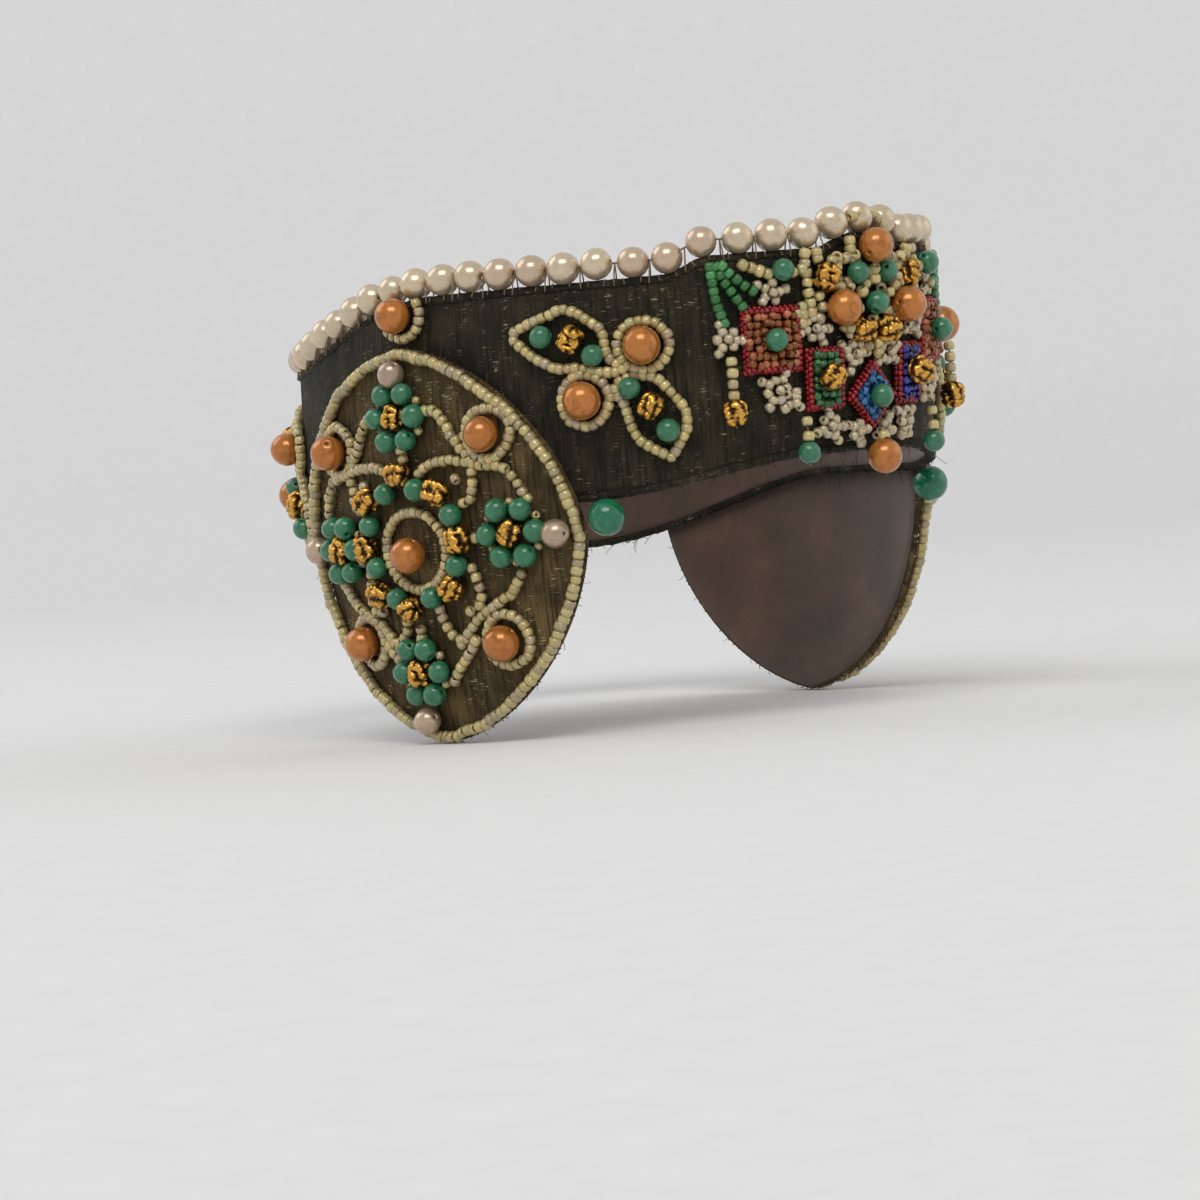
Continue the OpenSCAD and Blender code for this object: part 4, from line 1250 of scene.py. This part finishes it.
def pearl_point(s):
    slope = (top_z(s + 1) - top_z(s - 1)) / 2
    steep = math.sqrt(1 + slope * slope)
    return surf(s, top_z(s) + BINDING_R + 6 * TOUCH + (BINDING_R + EDGING_PEARL_R) * steep, BAND_BACK / 2)


class HEADBAND_OT_pearls(Operator):
    """Makes the row of pearls on the top edge, with its thread and stitches"""
    bl_idname = "headband.pearls"
    bl_label = "Pearl edging"

    def execute(self, context):
        thread = context.scene.headband_sizes.thread
        peak = range(-PEAK_EACH_SIDE, PEAK_EACH_SIDE + 1)
        others = [i for i in range(FIRST_PEARL, LAST_PEARL + 1) if i not in peak]
        for name, row, slot, node in (("pearl_row", others, "edging_pearl", "pearl_edging"),
                                      ("peak_pearl_row", peak, "peak_pearl", "peak_pearls")):
            spots = []
            for i in row:
                s = i * PEARL_PITCH
                along = pearl_point(s + 2) - pearl_point(s - 2)
                spots.append((pearl_point(s), along.normalized(), normal(s, 20), 1.0))
            beads = stitched(name, spots, "pearl", "pearl", tilt=0.25, wander=0.25, uneven=0.035, seed=21)
            settle(beads, "band", slot, node)
        quarter = PEARL_PITCH / 4
        line = [pearl_point(FIRST_PEARL * PEARL_PITCH + k * quarter) for k in range(4 * PEARL_COUNT - 3)]
        string = tubes("pearl_string", [line], thread * 0.55, Stock.finishes["thread"])
        settle(string, "band", "waxed_thread", "pearl_thread")
        loops = []
        rng = random.Random(31)
        for i in range(FIRST_PEARL, LAST_PEARL):
            s = (i + 0.5) * PEARL_PITCH
            above = pearl_point(s)
            foot_s = s + rng.uniform(-0.5, 0.5)
            for side in (0.4, BAND_BACK - 0.4):
                foot = surf(foot_s, top_z(foot_s) + 0.4 * BINDING_R, side)
                middle = (above + foot) / 2 + normal(s, 20) * (side - BAND_BACK / 2) * MM * 0.35
                loops.append([above, middle, foot])
        ties = tubes("pearl_ties", loops, thread * 0.42, Stock.finishes["thread"], sides=5)
        settle(ties, "band", "waxed_thread", "pearl_stitches")
        return {"FINISHED"}


SEED_LIFT = 1.6
SEED_PITCH = 2.25


def bead_lift(diameter, base=0.0):
    return base + diameter / MM / 2 + TOUCH


class HEADBAND_OT_sprays(Operator):
    """Makes the leaf sprays and the crest corals on the band"""
    bl_idname = "headband.sprays"
    bl_label = "Sprays and crests"

    def execute(self, context):
        sizes = context.scene.headband_sizes
        ring = sizes.coral / MM / 2 + 1.75
        corals, turquoises, nuggets = [], [], []
        for word, (s0, z0) in zip(("front", "back"), SPRAYS):
            lines = []
            for side in (1, -1):
                for outline in LEAF_OUTLINES:
                    places = [(s0 + p, z0 + q) for p, q in outline]
                    lines.append(cloth_line(places, SEED_LIFT, True, side, 0.8))
                for p, q in SPRAY_CORALS:
                    lines.append(cloth_line(ring_places(s0 + p, z0 + q, ring), SEED_LIFT, True, side, 0.6))
                    corals.append(cloth_spot(side * (s0 + p), z0 + q, bead_lift(sizes.coral), 80))
                for p, q in LEAF_TURQUOISES:
                    turquoises.append(cloth_spot(side * (s0 + p), z0 + q, bead_lift(sizes.turquoise), 30))
                for p, q, turn in LEAF_NUGGETS:
                    nuggets.append(cloth_spot(side * (s0 + p), z0 + q, bead_lift(sizes.nugget), turn + 90))
            beads = strung(f"{word}_spray_strings", lines, "seed", "seed", SEED_PITCH, seed=40 + len(word))
            settle(beads, "band", "lustre_seed", f"{word}_spray_seeds")
        settle(stitched("spray_corals", corals, "coral", "coral", seed=51), "band", "coral",
               "spray_coral_pearls")
        settle(stitched("spray_turquoises", turquoises, "turquoise", "turquoise", tilt=0.4, seed=52), "band",
               "turquoise", "spray_turquoise_beads")
        settle(stitched("spray_nuggets", nuggets, "nugget", "gilt", tilt=0.3, seed=53), "band", "gilt_nugget",
               "spray_gold_nuggets")
        loop = ring_places(CREST_S, CREST_Z, ring, ring - 0.5, 18, 150, 390)
        arcs = [cloth_line(loop, SEED_LIFT, False, side) for side in (1, -1)]
        settle(strung("crest_strings", arcs, "seed", "seed", SEED_PITCH, seed=54), "band", "lustre_seed",
               "crest_loops")
        spots = [cloth_spot(side * CREST_S, CREST_Z, bead_lift(sizes.coral), 85) for side in (1, -1)]
        settle(stitched("crest_corals", spots, "coral", "coral", seed=55), "band", "coral",
               "crest_coral_pearls")
        return {"FINISHED"}


def turned(p, q, degrees):
    a = math.radians(degrees)
    return p * math.cos(a) - q * math.sin(a), p * math.sin(a) + q * math.cos(a)


# How far a panel's border and its weave lie inside its outline, both sides together, and the weave's pitch.
PANEL_EDGE = 1.6
WEAVE_EDGE = 4.4
WEAVE_PITCH = 2.05


class HEADBAND_OT_garland(Operator):
    """Makes the woven panels, blossoms, fronds and crown on the forehead"""
    bl_idname = "headband.garland"
    bl_label = "Garland"

    def execute(self, context):
        self.sizes = context.scene.headband_sizes
        self.panel("garland_blue", BLUE_PLACE, 1, "blue_seed", "blue_seeds", "garland_blue_panel", 2.9)
        for word, side in SIDES:
            fill, slot, node = OBLONG_PANELS[side]
            self.panel(f"{word}_green", GREEN_PLACE, side, fill, slot, node, 3.1)
            self.panel(f"{word}_red", RED_PLACE, side, "orange_seed", "red_seeds", f"{word}_red_panel", 3.4)
            self.blossoms(word, side)
        self.fronds()
        self.crown()
        return {"FINISHED"}

    def panel(self, name, place, side, fill, slot, node, clear):
        """Rows of small seeds inside a border of dark red ones, one layer deep where its middle bead sits and
        two elsewhere.
        """
        s0, z0, wide, high, spin = place
        p, q = (wide - PANEL_EDGE) / 2, (high - PANEL_EDGE) / 2
        corners = ((-p, -q), (p, -q), (p, q), (-p, q), (-p, -q))
        lines = []
        for lift, shrink in ((1.1, 1.0), (2.1, 0.93)):
            path = []
            for (p1, q1), (p2, q2) in zip(corners, corners[1:]):
                for k in range(6):
                    t = k / 6
                    p, q = turned((p1 + (p2 - p1) * t) * shrink, (q1 + (q2 - q1) * t) * shrink, spin)
                    path.append((s0 - p, z0 + q))
            points = [surf(side * s, z, lift) for s, z in path]
            lines.append((points, [normal(side * s, z) for s, z in path], True))
        border = strung(f"{name}_border", lines, "seed", "red_seed", 1.45, 0.56, tilt=0.5, seed=60)
        settle(border, "band", "red_seeds")
        rng = random.Random(len(name) * 7 + side)
        spots = []
        across = int((wide - WEAVE_EDGE) / WEAVE_PITCH) + 1
        up = int((high - WEAVE_EDGE) / WEAVE_PITCH) + 1
        for i in range(across):
            for j in range(up):
                p = (i - (across - 1) / 2) * WEAVE_PITCH + rng.uniform(-0.4, 0.4)
                q = (j - (up - 1) / 2) * WEAVE_PITCH + rng.uniform(-0.4, 0.4)
                layers = 1 if math.hypot(p, q) < clear else 2
                for layer in range(layers):
                    a, b = turned(p, q, spin)
                    s, z = side * (s0 - a), z0 + b
                    lift = 1.0 + 1.1 * layer + rng.uniform(0, 0.5)
                    spots.append(cloth_spot(s, z, lift, rng.uniform(0, 180), 0.76))
        beads = stitched(f"{name}_weave", spots, "seed", fill, tilt=0.7, wander=0.18, seed=61)
        settle(beads, "band", slot, node)

    def blossoms(self, word, side):
        spots = []
        rng = random.Random(70 + side)
        for s0, z0, reach, count in BLOSSOMS:
            spots.append(cloth_spot(side * s0, z0, 2.9, rng.uniform(0, 180), 0.88))
            start = rng.uniform(0, 360)
            for k in range(count):
                a = math.radians(start + 360 * k / count)
                for ring, lift in ((0.72, 1.6), (1.32, 1.35)):
                    if ring > 1 and k % 2:
                        continue
                    p = reach * ring * math.cos(a) + rng.uniform(-0.3, 0.3)
                    q = reach * ring * math.sin(a) + rng.uniform(-0.3, 0.3)
                    spots.append(cloth_spot(side * (s0 - p), z0 + q, lift, math.degrees(a) * side, 0.9))
        beads = stitched(f"{word}_blossom_seeds", spots, "seed", "white_seed", tilt=0.6, wander=0.15, seed=71)
        settle(beads, "band", "white_seeds", f"{word}_blossoms")

    def fronds(self):
        lines = []
        for side in (1, -1):
            for k, foot in enumerate(FROND_FEET):
                top = (FROND_TOP[0] - 1.6 * k, FROND_TOP[1])
                middle = ((top[0] + foot[0]) / 2 + 0.6, (top[1] + foot[1]) / 2)
                lines.append(cloth_line([top, middle, foot], 1.5 + 0.25 * k, False, side, 0.2))
        beads = strung("frond_strings", lines, "seed", "frond_seed", 2.15, 0.98, seed=72)
        settle(beads, "band", "frond_seeds", "fronds")

    def crown(self):
        sizes = self.sizes
        turquoise = bead_lift(sizes.turquoise)
        nugget = bead_lift(sizes.nugget)
        peak = top_z(0) - 1.5
        corals = [(0, peak, 40)] + [(side * s, z, 20) for s, z in CROWN_CORALS for side in (1, -1)]
        on_panel = bead_lift(sizes.turquoise, 1.9)
        blues = [(side * s, z, turquoise) for s, z in CROWN_TURQUOISES for side in (1, -1)]
        blues += [(side * RED_PLACE[0], RED_PLACE[1], on_panel) for side in (1, -1)]
        blues += [(0, BLUE_PLACE[1], on_panel), (0, 10.4, turquoise + 1.0)]
        golds = [(side * s, z, nugget, a) for s, z, a in CROWN_NUGGETS for side in (1, -1)]
        golds += [(side * GREEN_PLACE[0], GREEN_PLACE[1] + 0.6, nugget + 1.9, 60) for side in (1, -1)]
        spots = [cloth_spot(s, z, bead_lift(sizes.coral), a) for s, z, a in corals]
        settle(stitched("crown_corals", spots, "coral", "coral", tilt=0.5, seed=73), "band", "coral",
               "crown_coral_pearls")
        spots = [cloth_spot(s, z, lift, 20) for s, z, lift in blues]
        settle(stitched("crown_turquoises", spots, "turquoise", "turquoise", tilt=0.6, seed=74), "band",
               "turquoise", "crown_turquoise_beads")
        spots = [cloth_spot(s, z, lift, a) for s, z, lift, a in golds]
        settle(stitched("crown_nuggets", spots, "nugget", "gilt", tilt=0.4, seed=75), "band", "gilt_nugget",
               "crown_gold_nuggets")
        lines = [cloth_line(path, 1.75, False, side, 0.3) for path in CROWN_STRINGS for side in (1, -1)]
        lines.append(cloth_line(ring_places(0, peak, 6.7, None, 16, 165, 375), 2.0, False))
        over_peak = [(-7.4, peak + 6), (-3.6, peak + 8.4), (0.5, peak + 8.8), (4, peak + 7.8)]
        lines.append(cloth_line(over_peak, 1.2))
        settle(strung("crown_strings", lines, "seed", "seed", 2.3, 1.06, tilt=0.3, seed=76), "band",
               "lustre_seed", "crown_swags")
        settle(self.crown_seeds(corals, blues, golds), "band", "lustre_seed")

    def crown_seeds(self, corals, blues, golds):
        """Loose clusters of cream seeds that fill the gaps between the crown's beads."""
        rng = random.Random(77)
        taken = []
        for beads, reach in ((corals, 6.1), (blues, 4.3), (golds, 4.6)):
            taken += [(bead[0], bead[1], reach) for bead in beads]
        for place, reach in ((BLUE_PLACE, 8.6), (GREEN_PLACE, 8.4)):
            taken += [(side * place[0], place[1], reach) for side in (1, -1)]
        spots = []
        tries = 2600
        for _ in range(tries):
            s = rng.uniform(-15, 15)
            z = rng.uniform(-3, 27)
            if abs(s) > 4 + 11 * step_up(-4, 12, z) or z > top_z(s) - 1.5:
                continue
            if all(math.hypot(s - a, z - b) > r for a, b, r in taken):
                taken.append((s, z, 2.35))
                lift, turn = rng.uniform(1.5, 3.2), rng.uniform(0, 180)
                spots.append(cloth_spot(s, z, lift, turn, rng.uniform(0.92, 1.12)))
        return stitched("crown_cluster_seeds", spots, "seed", "seed", tilt=0.8, wander=0.2, seed=78)


class HEADBAND_OT_medallions(Operator):
    """Makes both ear medallions: cloth, lining, borders, rings, tendrils and beads"""
    bl_idname = "headband.medallions"
    bl_label = "Medallions"

    flat_size = (0.112, 0.112)
    flat_area = 0.0098
    loose_threads = 34

    def execute(self, context):
        self.sizes = context.scene.headband_sizes
        for word, side in SIDES:
            self.word = word
            self.side = side
            self.body = f"{word}_medallion"
            self.cloth()
            self.strings()
            self.beads()
        return {"FINISHED"}

    def keep(self, piece, slot, node=None):
        nodes = [f"{self.body}_{node}"] if node else []
        return settle(piece, self.body, slot, *nodes)

    def disc(self, name, path, finish, depth):
        """A closed round sheet. The path runs over it from the middle: (share of the radius, inset, height)."""
        sides = 132
        rows = []
        for share, inset, h in path:
            row = []
            for k in range(sides):
                a = 2 * math.pi * k / sides
                r = edge_r(a) * share - inset
                s, z = on_medallion(self.side, r * math.cos(a), r * math.sin(a))
                fall = wrinkle(s * 1.7, z * 1.7, depth)
                row.append((surf(s, z, h + fall), (s * MM, z * MM)))
            rows.append(row)
        points = [p for row in rows for p, _ in row]
        flat = [uv for row in rows for _, uv in row]
        faces = grid_faces(len(rows), sides, wrap_cols=True)
        s, z = on_medallion(self.side, 0, 0)
        for row, h in ((0, path[0][2]), (len(rows) - 1, path[-1][2])):
            points.append(surf(s, z, h + wrinkle(s * 1.7, z * 1.7, depth)))
            flat.append((s * MM, z * MM))
            first = row * sides
            faces += [(len(points) - 1, first + k, first + (k + 1) % sides) for k in range(sides)]
        return new_piece(name, points, faces, finish, flat)

    def cloth(self):
        low, silk, board, top = MEDALLION_H
        inner = [(k / 30, 0.0, top) for k in range(1, 29)]
        outer_back = [(k / 12, 0.0, board + 0.05) for k in range(11, 0, -1)]
        rim = self.turned_edge((2.2, top), (0.9, top - 0.03), (0.1, top - 0.25), (-0.35, top - 0.75),
                               (-0.4, board - 0.4), (-0.3, silk + 0.2), (0.1, silk - 0.15), (0.1, silk + 0.1),
                               (-0.1, silk + 0.4), (-0.1, board - 0.2), (0.3, board + 0.03))
        self.sheet("cloth", inner + rim + outer_back, "gold_cloth", 0.18, "metal_cloth", "cover")
        under = [(k / 12, 0.0, low) for k in range(1, 12)]
        over = [(k / 12, 0.0, silk) for k in range(11, 0, -1)]
        edge = self.turned_edge((0.6, low + 0.05), (0.35, low + 0.25), (0.6, silk - 0.05))
        self.sheet("silk", under + edge + over, "silk", 0.0, "silk_lining", "lining")

    @staticmethod
    def turned_edge(*steps):
        return [(1.0, inset, h) for inset, h in steps]

    def sheet(self, name, path, finish, depth, slot, node):
        piece = self.disc(f"{self.body}_{name}", path, Stock.finishes[finish], depth)
        self.keep(piece, slot, node)

    def line(self, places, closed=False, lift=0.0, sway=0.3):
        path = [on_medallion(1, p, q) for p, q in places]
        return cloth_line(path, MEDALLION_H[3] + SEED_LIFT + lift, closed, self.side, sway)

    def edge_line(self, inside, lift, sway=0.5):
        places = []
        for k in range(90):
            a = 2 * math.pi * k / 90
            r = edge_r(a) - inside
            places.append((r * math.cos(a), r * math.sin(a)))
        return self.line(places, True, lift, sway)

    def strings(self):
        word = self.word
        border = strung(f"{word}_border_string", [self.edge_line(1.3, 0.0)], "seed", "border_seed", 2.3, 1.08,
                        tilt=0.2, wander=0.2, seed=80)
        self.keep(border, "lustre_seed", "border")
        rust = strung(f"{word}_edge_stitches", [self.edge_line(0.35, -1.75)], "whip", "rust", 1.9, spin=0.3,
                      tilt=0.3, wander=0.25, seed=81)
        self.keep(rust, "waxed_thread")
        rings = [self.line([(x + 0.4, y - 0.8) for x, y in self.oval(11.2, 10.4)], True)]
        ring = self.sizes.coral / MM / 2 + 1.75
        for p, q in MEDALLION_CORALS:
            rings.append(self.line([(p + x, q + y) for x, y in self.oval(ring, ring)], True, 0.0, 0.7))
        self.keep(strung(f"{word}_ring_strings", rings, "seed", "seed", SEED_PITCH, tilt=0.25, seed=82),
                  "lustre_seed", "rings")
        lines = []
        for path in TENDRILS_UP + TENDRILS_DOWN:
            lines.append(self.line(path))
            lines.append(self.line([(-p - 0.6, q - 0.6) for p, q in path]))
        for p, q in ROSETTES:
            way = Vector((-p, -q)).normalized()
            lines.append(self.line([(p + way.x * reach, q + way.y * reach) for reach in (8.6, 11.4)]))
        self.keep(strung(f"{word}_tendril_strings", lines, "seed", "seed", SEED_PITCH, tilt=0.3, wander=0.2,
                         seed=83), "lustre_seed", "tendrils")
        spots = []
        rng = random.Random(84)
        for p, q in ROSETTES:
            for x, y in self.oval(7.9, 7.9, 6, 30):
                spots.append(self.spot(p + x, q + y, 1.4, rng.uniform(0, 180), 0.8))
        for p, q in ((17.4, 17.6), (-17.6, 17.2), (16.6, -17.6), (-17.4, -17)):
            spots.append(self.spot(p, q, 1.6, rng.uniform(0, 180), 1.0))
        self.keep(stitched(f"{word}_rosette_seeds", spots, "seed", "seed", tilt=0.6, seed=85), "lustre_seed")

    @staticmethod
    def oval(ra, rb, count=30, start=0.0):
        angles = [math.radians(start + 360 / count * k) for k in range(count)]
        return [(ra * math.cos(a), rb * math.sin(a)) for a in angles]

    def spot(self, p, q, lift, degrees, size=1.0):
        s, z = on_medallion(self.side, p, q)
        return cloth_spot(s, z, MEDALLION_H[3] + lift, degrees, size)

    def beads(self):
        sizes = self.sizes
        coral, blue = bead_lift(sizes.coral), bead_lift(sizes.turquoise)
        gold, pearl = bead_lift(sizes.nugget), bead_lift(sizes.small_pearl)
        spots = [self.spot(p, q, coral, 60) for p, q in (MIDDLE_CORAL,) + MEDALLION_CORALS]
        self.sew("coral_beads", spots, "coral", "coral", 0.5, 86, "coral", "corals")
        spots = [self.spot(p, q, blue, self.round_turn(p, q)) for p, q in MEDALLION_TURQUOISES]
        for p, q in ROSETTES:
            for k, (x, y) in enumerate(self.oval(ROSETTE_R, ROSETTE_R, 6)):
                spots.append(self.spot(p + x, q + y, blue, 60 * k + 90))
        self.sew("blue_beads", spots, "turquoise", "turquoise", 0.35, 87, "turquoise", "turquoises")
        spots = [self.spot(p, q, gold, self.round_turn(p, q)) for p, q in MEDALLION_NUGGETS]
        spots += [self.spot(p, q, gold, 70) for p, q in ROSETTES]
        self.sew("gilt_beads", spots, "nugget", "gilt", 0.35, 88, "gilt_nugget", "nuggets")
        spots = [self.spot(p, q, pearl, 30) for p, q in MEDALLION_PEARLS]
        self.sew("pearl_beads", spots, "small_pearl", "small_pearl", 0.5, 89, "edging_pearl", "pearls")
        rng = random.Random(90)
        starts = []
        for _ in range(self.loose_threads):
            a = rng.uniform(0, 2 * math.pi)
            r = edge_r(a)
            s, z = on_medallion(self.side, r * math.cos(a), r * math.sin(a))
            away = on_cloth_dir(s, z, math.degrees(a) + rng.uniform(-80, 80))
            away += 0.5 * normal(s, z) * rng.uniform(-0.4, 1)
            starts.append((surf(s, z, 1.8), away, rng.uniform(1.5, 3.5)))
        self.keep(loose_ends(f"{self.body}_loose_threads", starts, "rust", 91), "waxed_thread")

    @staticmethod
    def round_turn(p, q):
        """The turn of a bead whose hole runs round the medallion's middle, in degrees."""
        return math.degrees(math.atan2(q, p)) + 90

    def sew(self, name, spots, blanks, finish, tilt, seed, slot, node):
        self.keep(stitched(f"{self.body}_{name}", spots, blanks, finish, tilt=tilt, seed=seed), slot, node)


class HEADBAND_OT_drops(Operator):
    """Makes the swinging drops on their short strings"""
    bl_idname = "headband.drops"
    bl_label = "Drops"

    def execute(self, context):
        self.sizes = context.scene.headband_sizes
        self.drop("forehead", "forehead_coral_drop", 1, FOREHEAD_DROP, "coral", "coral", "coral")
        for word, side in SIDES:
            self.drop(f"{word}_turquoise", f"{word}_turquoise_drop", side, TURQUOISE_DROP, "turquoise",
                      "turquoise", "turquoise")
            self.drop(f"{word}_gold", f"{word}_gold_drop", side, GILT_DROP, "nugget", "gilt", "gilt_nugget")
            self.jade(word, side)
        return {"FINISHED"}

    def drop(self, name, node, side, place, blanks, finish, slot):
        body = f"{name}_drop"
        s, z, h, string, bead_d = place
        s *= side
        top = surf(s, z, h)
        out = normal(s, z)
        bead = top - UP * (string + bead_d / 2 + 0.1) * MM
        spot = (bead, UP, out, 0.97)
        piece = stitched(f"{body}_bead", [spot], blanks, finish, tilt=0.12, wander=0, seed=92)
        settle(piece, body, slot, node)
        line = [top - UP * (1.2 + k * 0.5) * MM for k in range(max(2, round((string - 2.2) / 0.5) + 1))]
        if string < 3:
            line = [top - UP * 0.9 * MM, top - UP * 1.0 * MM]
        lines = [(line, [out] * len(line), False)]
        seeds = strung(f"{body}_seeds", lines, "seed", "seed", 2.3, 1.04, seed=93)
        settle(seeds, body, "lustre_seed")
        tail = bead - UP * (bead_d / 2 + 0.5) * MM
        thread = tubes(f"{body}_thread", [[top - UP * 0.4 * MM, (top + bead) / 2, bead, tail]],
                       self.sizes.thread * 0.5, Stock.finishes["thread"])
        settle(thread, body, "waxed_thread")

    def jade(self, word, side):
        body = f"{word}_jade_drop"
        s = side * JADE_S
        z = bottom_z(s)
        top = surf(s, z, JADE_OUT)
        out = normal(s, z)
        bead = top - UP * (JADE_STRING + JADE_R + TOUCH) * MM
        piece = stitched(f"{body}_bead", [(bead, UP, out, 1.0)], "jade", "jade", tilt=0.3, wander=0, seed=94)
        settle(piece, body, "jade", body)
        across = on_cloth_dir(s, z, 0)
        loops = []
        for lean in (-1, 1):
            path = []
            for k in range(9):
                t = k / 8
                sideways = across * lean * math.sin(math.pi * t) * 0.7 * MM
                path.append(top - UP * (0.4 + 1.4 * t) * MM + sideways)
            loops.append(path)
        knot = tubes(f"{body}_loop", loops, self.sizes.thread * 0.35, Stock.finishes["fray"])
        settle(knot, body, "waxed_thread")


def even_run(a, b, count):
    return [a + (b - a) * k / (count - 1) for k in range(count)]


class HEADBAND_OT_closure(Operator):
    """Makes the cloth tab at the back and finishes the parts kept from the frame"""
    bl_idname = "headband.closure"
    bl_label = "Closure and frame parts"

    flat_size = (0.022, 0.048)
    # Nodes that are seen as they are, with their finishes.
    kept_nodes = {"band_stiffener": "buckram", "right_medallion_stiffener": "buckram",
                  "left_medallion_stiffener": "buckram", "stud_sockets": "steel", "tab_studs": "steel"}

    def execute(self, context):
        start = SLIT_S + SLIT_GAP
        tab = band_sheet("closing_tab_cloth", TAB_H, TAB_H + TAB_T, Stock.finishes["band_cloth"], 0.0, 1.2,
                         start, start + TAB_L, TAB_IN)
        settle(tab, "closing_tab", "metal_cloth", "closing_tab")
        near, far = start + 1.2, start + TAB_L - 1.4
        inset = TAB_IN + 1.3
        edge = [(s, bottom_z(s) + inset) for s in even_run(near, far, 23)]
        edge += [(far, z) for z in even_run(bottom_z(far) + inset, top_z(far) - inset, 24)]
        edge += [(s, top_z(s) - inset) for s in even_run(far, near, 23)]
        line = [surf(s, z, TAB_H + TAB_T + 0.05) for s, z in edge]
        outs = [normal(s, z) for s, z in edge]
        stitches = strung("closing_tab_stitches", [(line, outs, False)], "whip", "thread", 2.6, spin=0.1,
                          seed=95)
        settle(stitches, "closing_tab", "waxed_thread")
        for node, finish in self.kept_nodes.items():
            mesh = frame["nodes"][node].data
            mesh.materials.clear()
            mesh.materials.append(Stock.finishes[finish])
        return {"FINISHED"}


class HEADBAND_OT_put_away(Operator):
    """Puts the bead blanks away"""
    bl_idname = "headband.put_away"
    bl_label = "Put the blanks away"

    def execute(self, context):
        for box in Stock.boxes.values():
            for blank in list(box.objects):
                bpy.data.objects.remove(blank)
            bpy.data.collections.remove(box)
        Stock.boxes = {}
        return {"FINISHED"}


STEPS = (HEADBAND_OT_stage, HEADBAND_OT_blanks, HEADBAND_OT_band, HEADBAND_OT_pearls, HEADBAND_OT_sprays,
         HEADBAND_OT_garland, HEADBAND_OT_medallions, HEADBAND_OT_drops, HEADBAND_OT_closure,
         HEADBAND_OT_put_away)


class HEADBAND_PT_panel(Panel):
    """Lists the steps, the sizes and the colours"""
    bl_idname = "HEADBAND_PT_panel"
    bl_label = "Beaded Headband"
    bl_space_type = "VIEW_3D"
    bl_region_type = "UI"
    bl_category = "Headband"

    def draw(self, context):
        for step in STEPS:
            self.layout.operator(step.bl_idname)
        for group in (context.scene.headband_sizes, context.scene.headband_colours):
            for label in group.bl_rna.properties.keys():
                if label not in ("rna_type", "name"):
                    self.layout.prop(group, label)


CLASSES = (HeadbandSizes, HeadbandColours, *STEPS, HEADBAND_PT_panel)


def register():
    for item in CLASSES:
        bpy.utils.register_class(item)
    bpy.types.Scene.headband_sizes = PointerProperty(type=HeadbandSizes)
    bpy.types.Scene.headband_colours = PointerProperty(type=HeadbandColours)


def unregister():
    del bpy.types.Scene.headband_sizes
    del bpy.types.Scene.headband_colours
    for item in reversed(CLASSES):
        bpy.utils.unregister_class(item)


def main():
    register()
    for step in STEPS:
        group, name = step.bl_idname.split(".")
        getattr(getattr(bpy.ops, group), name)()


if __name__ == "__main__":
    main()
